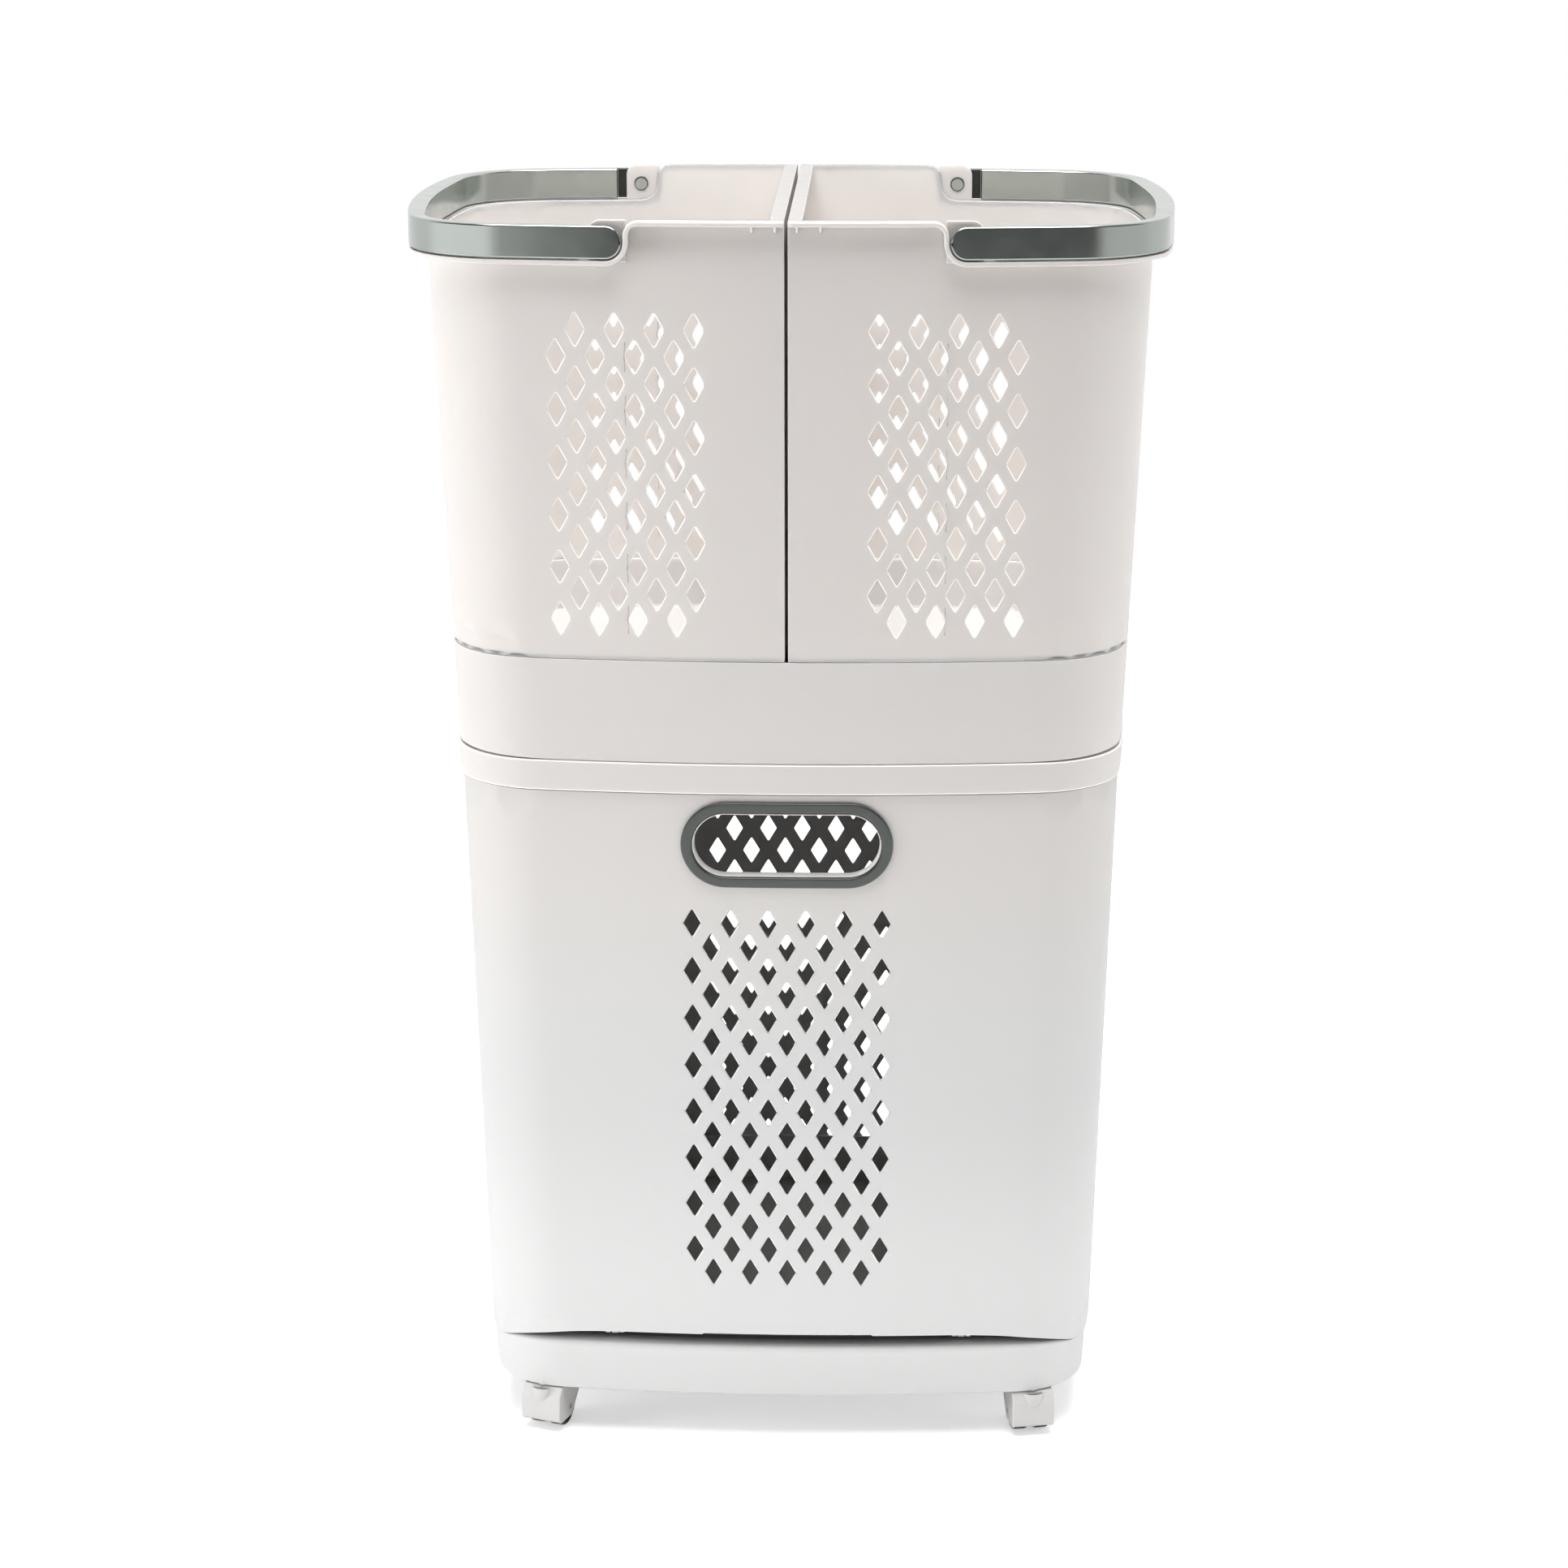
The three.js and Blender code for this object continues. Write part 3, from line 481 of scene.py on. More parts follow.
def mouldedPlastic(name, look):
    material, tree, shader, link = newMaterial(name)
    setInputs(shader, {"IOR": plastic["ior"], "Metallic": look.get("metallic", 0),
                       "Subsurface Weight": look.get("glow", 0), "Subsurface Radius": plastic["glowRadius"],
                       "Subsurface Scale": plastic["glowScale"]})
    coords = addNode(tree, "ShaderNodeTexCoord")
    grain = addNode(tree, "ShaderNodeGroup", node_tree=grainGroup)
    setInputs(grain, {"Grain Scale": look["grain"]})
    link(coords.outputs["Object"], grain.inputs["Position"])
    tone = addNode(tree, "ShaderNodeMix", data_type="RGBA")
    setInputs(tone, {"A": (*look["dark"], 1), "B": (*look["light"], 1)})
    link(grain.outputs["Drift"], tone.inputs["Factor"])
    plain = tone.outputs["Result"]
    parts = addNode(tree, "ShaderNodeSeparateXYZ")
    link(coords.outputs["Object"], parts.inputs["Vector"])
    for start, finish, colour in look.get("paintedByHeight", ()):
        # painted light: the tone shifts between two heights
        shifted = addNode(tree, "ShaderNodeMix", data_type="RGBA")
        setInputs(shifted, {"B": (*colour, 1)})
        link(fadeNode(tree, parts.outputs["Z"], start, finish), shifted.inputs["Factor"])
        link(plain, shifted.inputs["A"])
        plain = shifted.outputs["Result"]
    # painted light and shade: faces marked paler stand in for light on edges and inner faces, faces marked
    # darker for shade in recesses; the handle's stub end is marked for its own lighter tone
    marked = addNode(tree, "ShaderNodeAttribute", attribute_name="paintedShadeAndTone")
    paintedShadeAndTone = addNode(tree, "ShaderNodeVectorMath", operation="SCALE")
    link(plain, paintedShadeAndTone.inputs[0])
    link(mathNode(tree, "ADD", marked.outputs["Fac"], 1), paintedShadeAndTone.inputs["Scale"])
    link(paintedShadeAndTone.outputs["Vector"], shader.inputs["Base Color"])
    gloss = fadeNode(tree, grain.outputs["Marks"], *plastic["marks"], *look["roughness"], kind="LINEAR")
    link(gloss, shader.inputs["Roughness"])
    bump = addNode(tree, "ShaderNodeBump", {"Strength": look["bump"], "Distance": plastic["bumpDepth"]})
    link(grain.outputs["Height"], bump.inputs["Height"])
    link(bump.outputs["Normal"], shader.inputs["Normal"])
    return material


def turnedSteel(colour=(0.55, 0.56, 0.57, 1), grooves=(4000, 300, 300), roughness=(0.22, 0.4)):
    material, tree, shader, link = newMaterial("turnedSteel")
    setInputs(shader, {"Metallic": 1, "Base Color": colour})
    coords = addNode(tree, "ShaderNodeTexCoord")
    stretched = addNode(tree, "ShaderNodeMapping", {"Scale": grooves})
    lines = addNode(tree, "ShaderNodeTexNoise", {"Scale": 1})
    link(coords.outputs["Object"], stretched.inputs["Vector"])
    link(stretched.outputs["Vector"], lines.inputs["Vector"])
    gloss = fadeNode(tree, lines.outputs["Fac"], 0, 1, *roughness, kind="LINEAR")
    link(gloss, shader.inputs["Roughness"])
    return material


looks = {
    "basketWhite": {"dark": (0.588, 0.565, 0.549), "light": (0.603, 0.579, 0.563), "roughness": (0.42, 0.5),
                    "grain": 1500, "bump": 0.12, "glow": 0.8},
    "bodyWhite": {"dark": (0.59, 0.59, 0.588), "light": (0.605, 0.605, 0.603), "roughness": (0.42, 0.5),
                  "grain": 1500, "bump": 0.12,
                  # painted light by height: paler below 0.08 m as painted floor bounce, and a warm cast above
                  # 0.4 m painted as the reflection of the cream parts above
                  "paintedByHeight": ((0.08, 0.25, (0.52, 0.52, 0.518)), (0.26, 0.4, (0.535, 0.517, 0.5)))},
    "bucketWhite": {"dark": (0.62, 0.61, 0.595), "light": (0.64, 0.63, 0.615), "roughness": (0.5, 0.6),
                    "grain": 1100, "bump": 0.2},
    "handleGrey": {"dark": (0.37, 0.4, 0.378), "light": (0.4, 0.432, 0.407), "roughness": (0.16, 0.22),
                   "grain": 500, "bump": 0.05, "metallic": 0.9},
    "gripGrey": {"dark": (0.085, 0.092, 0.088), "light": (0.1, 0.108, 0.102), "roughness": (0.32, 0.4),
                 "grain": 900, "bump": 0.1, "metallic": 0.75},
    "casterGrey": {"dark": (0.56, 0.55, 0.54), "light": (0.585, 0.575, 0.565), "roughness": (0.38, 0.48),
                   "grain": 1200, "bump": 0.15},
    "wheelDark": {"dark": (0.03, 0.03, 0.031), "light": (0.045, 0.045, 0.046), "roughness": (0.5, 0.65),
                  "grain": 800, "bump": 0.25},
}
materials = {name: mouldedPlastic(name, look) for name, look in looks.items()}
materials["pinSteel"] = turnedSteel()
print("materials made")

# ---- baskets ----
basket = {"wall": 0.0022, "split": 0.001, "bottom": 0.5328, "floor": 0.4983, "rimTop": 0.8047,
          "nestInset": 0.0035, "footRound": 0.004, "edge": 0.00055, "fieldTop": 0.757, "easeFrom": 0.156,
          "axisX": 0.1, "gap": 0.0002, "underLip": 0.00005, "stepTurns": (0, 20, 38, 54, 68, 80),
          "seatTurns": (14, 32, 50, 70, 90)}
basketHoles = {"width": 0.0121, "height": 0.022, "pitchX": 0.024, "pitchZ": 0.01636, "x": 0.0556,
               "topZ": 0.7384, "rows": 12, "columns": 4, "tip": 0.0016}
# painted light and shade on the basket: inner faces paler, a painted highlight on the hole edges, a painted
# shade on the flange
basketPaintedShading = {"inside": 0.42, "deep": 0.2, "deepZ": 0.66, "floorZ": 0.55, "edge": 0.45, "flange": -0.35}
lip = {"thick": 0.003, "width": 0.013, "edge": 0.0009, "endRound": 0.003, "columns": 420,
       "sunkShare": 0.6}
flange = {"width": 0.009, "corner": 0.0035, "edge": 0.0007, "inset": 0.0006, "wallInset": 0.0012}
tooth = {"spots": (0.0065, 0.0205), "half": 0.0007, "drop": 0.005, "reach": 0.0078, "edge": 0.0003}
pivot = {"x": 0.1077, "z": 0.7918, "half": 0.01, "clear": 0.0008, "step": 0.009}
tab = {"front": 0.1669, "back": 0.1639, "outer": 0.1177, "corner": 0.007, "bore": 0.00465,
       "boreY": (-0.01, 0.02), "boreSides": 32, "edge": 0.0005}
stub = {"radius": 0.00425, "end": 0.1631, "edge": 0.0006}

# the rim from the split outward: level, a curve down, a straight drop and a curve out to the ledge
seat = pivot["half"] + pivot["clear"]
ledgeZ = pivot["z"] - seat
stepX = pivot["x"] - seat - pivot["step"]
stepEnd = stepX + pivot["step"]
levelLength = stepX - basket["split"]
curveLength = levelLength + pivot["step"] * math.pi / 2
dropLength = curveLength + basket["rimTop"] - pivot["step"] - pivot["z"]
ledgeLength = dropLength + seat * math.pi / 2
rimLength = 2 * (ledgeLength + quarter - pivot["x"])


def rimHeight(x):
    # height of the rim over a station, x counted from the split
    if x < stepX:
        return basket["rimTop"]
    if x < stepEnd:
        return basket["rimTop"] - pivot["step"] + math.sqrt(pivot["step"] ** 2 - (x - stepX) ** 2)
    if x < pivot["x"]:
        return pivot["z"] - math.sqrt(max(seat ** 2 - (pivot["x"] - x) ** 2, 0))
    return ledgeZ


def rimPath(distance):
    # station, height and upward normal along the rim, from the split at the front
    high = basket["rimTop"] - pivot["step"]
    if distance < levelLength:
        return basket["split"] + distance, basket["rimTop"], 0, 1
    if distance < curveLength:
        turn = math.pi / 2 - (distance - levelLength) / pivot["step"]
        across, up = math.cos(turn), math.sin(turn)
        return stepX + pivot["step"] * across, high + pivot["step"] * up, across, up
    if distance < dropLength:
        return stepEnd, high - distance + curveLength, 1, 0
    if distance < ledgeLength:
        turn = math.pi + (distance - dropLength) / seat
        across, up = math.cos(turn), math.sin(turn)
        return pivot["x"] + seat * across, pivot["z"] + seat * up, -across, -up
    return pivot["x"] + distance - ledgeLength, ledgeZ, 0, 1


def basketWall():
    # front, side and back wall in one bent sheet, holes in front and back
    pitch, ease, low, top = basketHoles["pitchX"], basket["easeFrom"], basket["fieldTop"], basket["rimTop"]
    rows = []
    for row in range(basketHoles["rows"]):
        for column in range(basketHoles["columns"]):
            x = basketHoles["x"] + (row % 2) * pitch / 2 + column * pitch
            z = basketHoles["topZ"] - row * basketHoles["pitchZ"]
            rows += [(x, z), (back - x, z)]
    # the lattice has to meet itself at the back, so the stretch between the two fields is eased
    cells = round((back - 2 * basketHoles["x"]) / (pitch / 2))
    cells += cells % 2
    nominal = basketHoles["x"] * 2 + cells * pitch / 2
    rows = [(x if x < quarter else x + nominal - back, z) for x, z in rows]
    bm = diamondSheet((basket["split"], nominal - basket["split"], basket["bottom"], top), basketHoles, rows)
    # extra columns where the rim steps down, so that the wall's top follows it
    columns = [stepX + pivot["step"] * math.sin(math.radians(turn)) for turn in basket["stepTurns"]]
    columns += [stepEnd - 0.0001, stepEnd + 0.0001]
    for turn in basket["seatTurns"]:
        columns.append(pivot["x"] - (pivot["x"] - stepEnd) * math.cos(math.radians(turn)))
    for x in columns:
        for spot in (x, nominal - x):
            sliceAt(bm, (spot, 0, 0), (1, 0, 0), reach=1e-7)
    thicken(bm, basket["wall"])
    roundEdges(bm, basket["edge"])

    def where(co):
        q, z = co.x, co.y
        if co.x > nominal - ease:
            q = co.x + back - nominal
        elif co.x > ease:
            q = ease + (co.x - ease) * (back - 2 * ease) / (nominal - 2 * ease)
        if z > low:
            high = rimHeight(min(q, back - q)) + basket["underLip"]
            z = low + (z - low) * (high - low) / (top - low)
        return bend(upper, q, z, -co.z)

    place(bm, where)
    return bm


def basketLip():
    # a lip that stands out from the wall and follows the rim down under the handle
    width, corner, depth = lip["width"], lip["endRound"], basket["wall"] * lip["sunkShare"]
    bm = stationSheet(0, rimLength, 0, width, lip["columns"], 2)
    thicken(bm, lip["thick"])
    outer = [e for e in sharpEdges(bm) if min(v.co.y for v in e.verts) < width - tiny]
    bevelEdges(bm, outer, lip["edge"])

    def where(co):
        along = min(max(co.x, 0), rimLength)
        mirrored = along > rimLength / 2
        fromEnd = min(along, rimLength - along)
        q, z, across, up = rimPath(rimLength - along if mirrored else along)
        q += across * co.z
        z += up * co.z
        cut = 0
        if fromEnd < corner:
            cut = corner - math.sqrt(corner ** 2 - (corner - fromEnd) ** 2)
        share = (cut + co.y * (width - cut) / width) / width
        if mirrored:
            q = back - q
        return bend(rim, q, z, 0).lerp(bend(upper, q, z, depth), share)

    place(bm, where)
    return bm


def basketTub():
    # floor, low wall that nests in the tray, and the step out to the main wall
    arcs, total = 150, 180
    split, floor, nest, foot = basket["split"], basket["floor"], basket["nestInset"], basket["footRound"]
    step = basket["bottom"] - basket["gap"]

    def where(turn, inset, z):
        share = turn * total / arcs
        if share <= 1:
            spot = bend(upper, split + share * (back - 2 * split), z, inset)
        else:
            start, finish = bend(upper, split, z, inset), bend(upper, back - split, z, inset)
            spot = finish.lerp(start, (share - 1) * arcs / (total - arcs))
        spot.x = max(spot.x, split + basket["gap"])
        return spot

    bm = disc(total)
    sweepRings(bm, [(nest + foot, floor), (nest + foot * 0.3, floor + foot * 0.2), (nest, floor + foot),
                    (nest, step), (2 * basket["gap"], step)], where)
    faceOut(bm)
    if [f for f in bm.faces if len(f.verts) > 10 and f.normal.z > 0]:
        bmesh.ops.reverse_faces(bm, faces=bm.faces[:])
    bmesh.ops.solidify(bm, geom=bm.faces[:], thickness=basket["wall"])
    return bm


def basketTab(end):
    # the tab that holds a handle's stub; end is -1 at the front and 1 at the back
    left, low = stepEnd - lip["thick"] / 2, ledgeZ - lip["thick"] / 2
    points = [(left, 0, low), (tab["outer"], 0, low), (tab["outer"], 0, basket["rimTop"]),
              (left, 0, basket["rimTop"])]
    bm = prism(points, (0, tab["front"] - tab["back"], 0))
    corner = []
    for edge in edgesAlong(bm, 1):
        if edge.verts[0].co.x > tab["outer"] - tiny and edge.verts[0].co.z > pivot["z"]:
            corner.append(edge)
    bevelEdges(bm, corner, tab["corner"], 8)
    ends = [(pivot["x"], y, pivot["z"]) for y in tab["boreY"]]
    bm = cutOut(bm, rod(tab["bore"], *ends, sides=tab["boreSides"]))
    roundEdges(bm, tab["edge"])
    move(bm, (0, tab["back"] if end > 0 else -tab["front"], 0))
    return bm


def matingWall():
    # the flat wall where the two baskets meet, and the flange along its top with round inner corners
    split, middle, high = basket["split"], basket["bottom"], basket["rimTop"]
    low, top = basket["floor"] + 0.001, high - lip["thick"] / 2
    outline = []
    for z, q in ((low, back - split), (middle, back - split), (top, back - split),
                 (top, split), (middle, split), (low, split)):
        inset = flange["wallInset"] if z > middle else basket["nestInset"] + sunk
        outline.append((split, bend(upper, back - q, z, inset).y, z))
    wall = prism(outline, (basket["wall"], 0, 0))
    reach = flangeReach()
    strip = block((split, split + flange["width"]), (-reach, reach), (high - lip["thick"], high))
    inner = [e for e in edgesAlong(strip, 2) if e.verts[0].co.x > split + 0.001]
    bevelEdges(strip, inner, flange["corner"], 6)
    roundEdges(strip, flange["edge"])
    return [wall, strip]


def flangeReach():
    return abs(bend(upper, basket["split"], basket["rimTop"], basket["wall"] + flange["inset"]).y)


def basketTooth(x, end):
    # a small tooth under the lip near the split
    high = basket["rimTop"] - lip["thick"] + sunk
    left, wall = x - tooth["half"], abs(bend(upper, x, high, sunk).y)
    points = [(left, end * wall, high - tooth["drop"]), (left, end * (wall + tooth["reach"]), high),
              (left, end * wall, high)]
    bm = prism(points, (2 * tooth["half"], 0, 0))
    roundEdges(bm, tooth["edge"])
    return bm


def paintBasketShading(middle, normal):
    # painted light and shade: inner faces are painted paler, less so lower down, the edges of the holes get a
    # painted highlight, and the flange a painted shade
    facing, fieldX, fieldY = 0.3, 0.045, 0.13
    if middle.z > basket["rimTop"] - lip["thick"] and middle.x < flange["width"] + 0.002:
        return basketPaintedShading["flange"] if abs(middle.y) < flangeReach() else 0
    inField = fieldX < middle.x < flat and middle.z < basket["fieldTop"] and abs(middle.y) > fieldY
    if inField and abs(normal.y) < edgeTurn:
        return basketPaintedShading["edge"]
    inward = (Vector((basket["axisX"], 0, 0)) - middle).to_2d()
    onFloor = normal.z > 0.5 and middle.z < basketPaintedShading["floorZ"]
    onTop = middle.z > basket["rimTop"] - sunk
    if onTop or not (onFloor or normal.to_2d().dot(inward) > facing * inward.length):
        return 0
    share = (middle.z - basketPaintedShading["deepZ"]) / (basket["rimTop"] - basketPaintedShading["deepZ"])
    return basketPaintedShading["deep"] + min(max(share, 0), 1) * (basketPaintedShading["inside"] - basketPaintedShading["deep"])


def basketParts():
    parts = [basketWall(), basketLip(), basketTub(), basketTab(-1), basketTab(1), *matingWall()]
    for x in tooth["spots"]:
        parts += [basketTooth(x, -1), basketTooth(x, 1)]
    whole = merged(*parts)
    markPaintedShadeAndTone(whole, paintBasketShading)
    return whole


# ---- handles ----
handle = {"thick": 0.009, "sideThick": 0.012, "endThick": 0.0045, "stepX": 0.124, "edge": 0.0013, "ends": 9,
          "short": 6, "long": 120, "easeFrom": 0.19, "easeOver": 0.07}
# painted light on the handle's inner faces, painted shade in the recess at each arm's end, and the stub end's
# own lighter tone
handleShadeAndStubTone = {"inside": 0.42, "end": -0.85, "stub": 0.5, "facing": 0.5, "around": 0.001}


def handleBow():
    columns = 2 * (handle["ends"] + handle["short"]) + handle["long"]
    first, thin = handle["ends"] + handle["short"], handle["endThick"]
    bm = stationSheet(0, columns, -pivot["half"], pivot["half"], columns, 2)
    thicken(bm, thin)
    inner = []
    for face in bm.faces:
        if face.normal.z < -0.5 and first < face.calc_center_median().x < columns - first:
            inner.append(face)
    pull(bm, inner, (0, 0, thin - handle["thick"]))

    def where(co):
        column = min(co.x, columns - co.x)
        squeeze = 1
        if column < handle["ends"]:
            turn = (1 - column / handle["ends"]) * math.pi / 2
            q = pivot["x"] - pivot["half"] * math.sin(turn)
            squeeze = math.cos(turn)
        elif column < first:
            q = pivot["x"] + (column - handle["ends"]) / handle["short"] * (handle["stepX"] - pivot["x"])
        else:
            q = handle["stepX"] + (column - first) / (handle["long"] / 2) * (quarter - handle["stepX"])
        depth = -co.z
        if depth > thin:
            ease = min(max((q - handle["easeFrom"]) / handle["easeOver"], 0), 1)
            ease = ease * ease * (3 - 2 * ease)
            full = handle["thick"] + ease * (handle["sideThick"] - handle["thick"])
            depth = thin + (depth - thin) / (handle["thick"] - thin) * (full - thin)
        if co.x > columns / 2:
            q = back - q
        return bend(rim, q, pivot["z"] + co.y * squeeze, depth)

    place(bm, where)
    bmesh.ops.remove_doubles(bm, verts=bm.verts[:], dist=tiny)
    faceOut(bm)
    roundEdges(bm, handle["edge"], 3)
    return bm


def paintHandleShadeAndStub(middle, normal):
    # painted light towards the inside of the bow, painted shade in the recess at each arm's end; the stub end
    # is marked paler for its own lighter grey
    inward = (Vector((pivot["x"], 0, 0)) - middle).to_2d()
    if normal.to_2d().dot(inward) < handleShadeAndStubTone["facing"] * inward.length:
        return 0
    if abs(middle.y) < stub["end"] + handleShadeAndStubTone["around"] and middle.x < handle["stepX"]:
        return handleShadeAndStubTone["stub"]
    return handleShadeAndStubTone["end"] if middle.x < handle["stepX"] + 0.0002 else handleShadeAndStubTone["inside"]


def handleParts():
    parts = [handleBow()]
    arm = abs(bend(rim, pivot["x"], pivot["z"], handle["endThick"] - sunk).y)
    for end in (-1, 1):
        ends = [(pivot["x"], end * y, pivot["z"]) for y in (stub["end"], arm)]
        parts.append(rod(stub["radius"], *ends, stub["edge"]))
    whole = merged(*parts)
    markPaintedShadeAndTone(whole, paintHandleShadeAndStub)
    return whole


print("baskets and handles")
halfTurn = Matrix.Rotation(math.pi, 4, "Z")
for name, bm, finish in (("basket", basketParts(), "basketWhite"), ("handle", handleParts(), "handleGrey")):
    mirrored = bm.copy()
    bmesh.ops.transform(mirrored, matrix=halfTurn, verts=mirrored.verts[:])
    finishPiece(name + "Right", bm, finish, f"right_{name}_body", "right_" + name)
    finishPiece(name + "Left", mirrored, finish, f"left_{name}_body", "left_" + name)

# ---- tray and band ----
# the edge tones of tray and band are painted highlights on their rounded edges
tray = {"bottom": 0.4669, "top": 0.5323, "wall": 0.0026, "deck": 0.4954, "plate": 0.0026, "edge": 0.0004,
        "cornerLift": 0.0013, "cornerAt": 0.21, "cornerSpan": 0.06, "edgeHighlight": 0.25}
band = {"bottom": 0.447, "top": 0.4665, "wall": 0.0026, "proud": 0.001, "ledge": 0.014, "collarOuter": 0.0036,
        "collarInner": 0.0062, "collarTop": 0.4804, "edge": 0.0008, "edgeHighlight": 0.45}
seamY = -0.062


def paintEdgeHighlight(bm, tone):
    # painted highlight on rounded edges: only the faces of the rounded edges lie between upright and level
    upright, level = 0.2, 0.98
    markPaintedShadeAndTone(bm, lambda middle, normal: tone if upright < abs(normal.z) < level else 0)


def trayParts():
    def where(turn, inset, z):
        q = turn * 2 * back
        if z < tray["bottom"] + 0.001:
            fromCorner = abs(abs((q + quarter) % back - quarter) - tray["cornerAt"])
            z += tray["cornerLift"] * max(0, 1 - (fromCorner / tray["cornerSpan"]) ** 2)
        return bend(upper, q, z, inset)

    low, high, inner = tray["bottom"], tray["top"], tray["wall"]
    ring = sweepLoop([(inner, low), (0, low), (0, high), (inner, high)], where, ringSteps)
    roundEdges(ring, tray["edge"], 3)
    whole = merged(ring, deckPlate(upper, tray["deck"] + tray["plate"], inner / 2, tray["plate"]))
    paintEdgeHighlight(whole, tray["edgeHighlight"])
    return whole


def bandParts():
    low, high, plate, proud = band["bottom"], band["top"], band["wall"], band["proud"]
    outer, inner, collar, ledge = band["collarOuter"], band["collarInner"], band["collarTop"], band["ledge"]

    def where(turn, inset, z):
        # the ledge runs round the back only, where it stands on the housing
        spot = bend(upper, turn * 2 * back, z, inset)
        if inset > inner + 0.001 and spot.y < seamY:
            spot = bend(upper, turn * 2 * back, z, plate + 0.0004)
        return spot

    section = [(-proud, low), (-proud, high), (outer, high), (outer, collar), (inner, collar),
               (inner, high - plate), (plate, high - plate), (plate, low + plate), (ledge, low + plate),
               (ledge, low)]
    ring = sweepLoop(section, where, ringSteps)
    level = []
    for edge in sharpEdges(ring):
        if all(v.co.z < low + tiny or abs(v.co.z - high) < tiny for v in edge.verts):
            level.append(edge)
    bevelEdges(ring, level, band["edge"], clamp=True)
    paintEdgeHighlight(ring, band["edgeHighlight"])
    return ring


finishPiece("trayShell", trayParts(), "basketWhite", "frame", "upper_tray")
finishPiece("bandRing", bandParts(), "basketWhite", "frame", "top_band")

# ---- bin front and rear housing ----
shell = {"bottom": 0.0611, "top": 0.4467, "wall": 0.0022, "edge": 0.0007, "seamGap": 0.0007}
# the door's edge tone is a painted highlight on the hole edges and the lower edge, within its limits in x and
# z
door = {"top": 0.4464, "easeZ": 0.4, "lowRows": 0.107, "notch": 0.0008, "notchX": 0.055, "notchSlope": 0.0008,
        "lip": 0.0075, "lipThick": 0.0026, "lipDrop": 0.0004, "lipEnd": 0.002, "lipColumns": 160,
        "edgeHighlight": 0.4, "paintedX": 0.16, "paintedZ": 0.44}
arch = {"halfSpan": 0.188, "endY": -0.09, "doorRise": 0.0134, "doorPower": 7, "baseRise": 0.0057,
        "basePower": 16}
hinge = {"y": -0.113, "z": 0.0735, "reach": 0.3726, "pin": 0.0025, "pinX": (0.106, 0.122), "pinEdge": 0.0004,
         "bore": 0.0029}
doorHoles = {"width": 0.0111, "height": 0.0195, "pitchX": 0.024, "pitchZ": 0.01606, "x": 0.012,
             "topZ": 0.3606, "rows": 16, "tip": 0.0015, "middle": 0}
backHoles = {"width": 0.0118, "height": 0.0195, "pitchX": 0.024, "pitchZ": 0.016, "x": 0.0088,
             "topZ": 0.3573, "rows": 16, "tip": 0.0013, "middle": -0.0032}
handHole = {"z": 0.4135, "halfWidth": 0.0585, "halfHeight": 0.02, "collar": 0.0022, "depth": 0.007,
            "lip": 0.0009, "proud": 0.0016, "edge": 0.0005, "cut": 0.0004, "cutFrom": -0.2,
            "cutLength": 0.1, "cutSteps": 96, "steps": 128}
grip = {"halfWidth": 0.0665, "proud": 0.0028, "edge": 0.0012, "gap": 0.0003, "steps": 160}
cheek = {"bottom": 0.0768, "top": 0.44, "edge": 0.0005, "middle": 0.3, "columns": 6, "rows": 40,
         "layers": ((-0.088, -0.055, 0.0036, 0.0058), (-0.0613, -0.055, 0.001, 0.0058))}


def fieldRows(holes):
    # rows of six and five holes in turn
    rows = []
    for row in range(holes["rows"]):
        count = 6 - row % 2
        for column in range(count):
            x = holes["middle"] + (column - (count - 1) / 2) * holes["pitchX"]
            rows.append((x, holes["topZ"] - row * holes["pitchZ"]))
    return rows


def archShare(spot, power):
    # how far an edge rises along the front: fully in the middle, and not at all at the corners
    if spot.y > arch["endY"]:
        return 0
    return max(0, 1 - (abs(spot.x) / arch["halfSpan"]) ** power)


def doorHigh(y):
    # behind the hinge the door's top stays under the arc that clears the band as it tips
    return hinge["z"] + math.sqrt(hinge["reach"] ** 2 - max(y - hinge["y"], 0) ** 2)


def towardSeam(q, end, here):
    # beyond the flat front the stations are stretched so that they end at the seam
    if abs(q) <= flat:
        return q
    return math.copysign(flat + (abs(q) - flat) * (here - flat) / (end - flat), q)


def doorWall():
    low, high, ease = shell["bottom"], door["top"], door["easeZ"]
    seam = stationAtY(lower, seamY, lower["z"])
    bm = diamondSheet((-seam, seam, low, high), doorHoles, fieldRows(doorHoles))
    for x in (door["notchX"], door["notchX"] + door["notchSlope"]):
        for sign in (-1, 1):
            sliceAt(bm, (sign * x, 0, 0), (1, 0, 0))
    thicken(bm, shell["wall"])
    roundEdges(bm, shell["edge"])

    def where(co):
        q = towardSeam(co.x, seam, stationAtY(lower, seamY, co.y))
        z = co.y
        spot = bend(lower, q, z, -co.z)
        if z > ease:
            z = ease + (z - ease) * (doorHigh(spot.y) - ease) / (high - ease)
        elif z < door["lowRows"]:
            start = low + arch["doorRise"] * archShare(spot, arch["doorPower"])
            start += door["notch"] if abs(q) < door["notchX"] + door["notchSlope"] / 2 else 0
            z = start + (z - low) / (door["lowRows"] - low) * (door["lowRows"] - start)
        return bend(lower, q, z, -co.z)

    place(bm, where)
    return bm


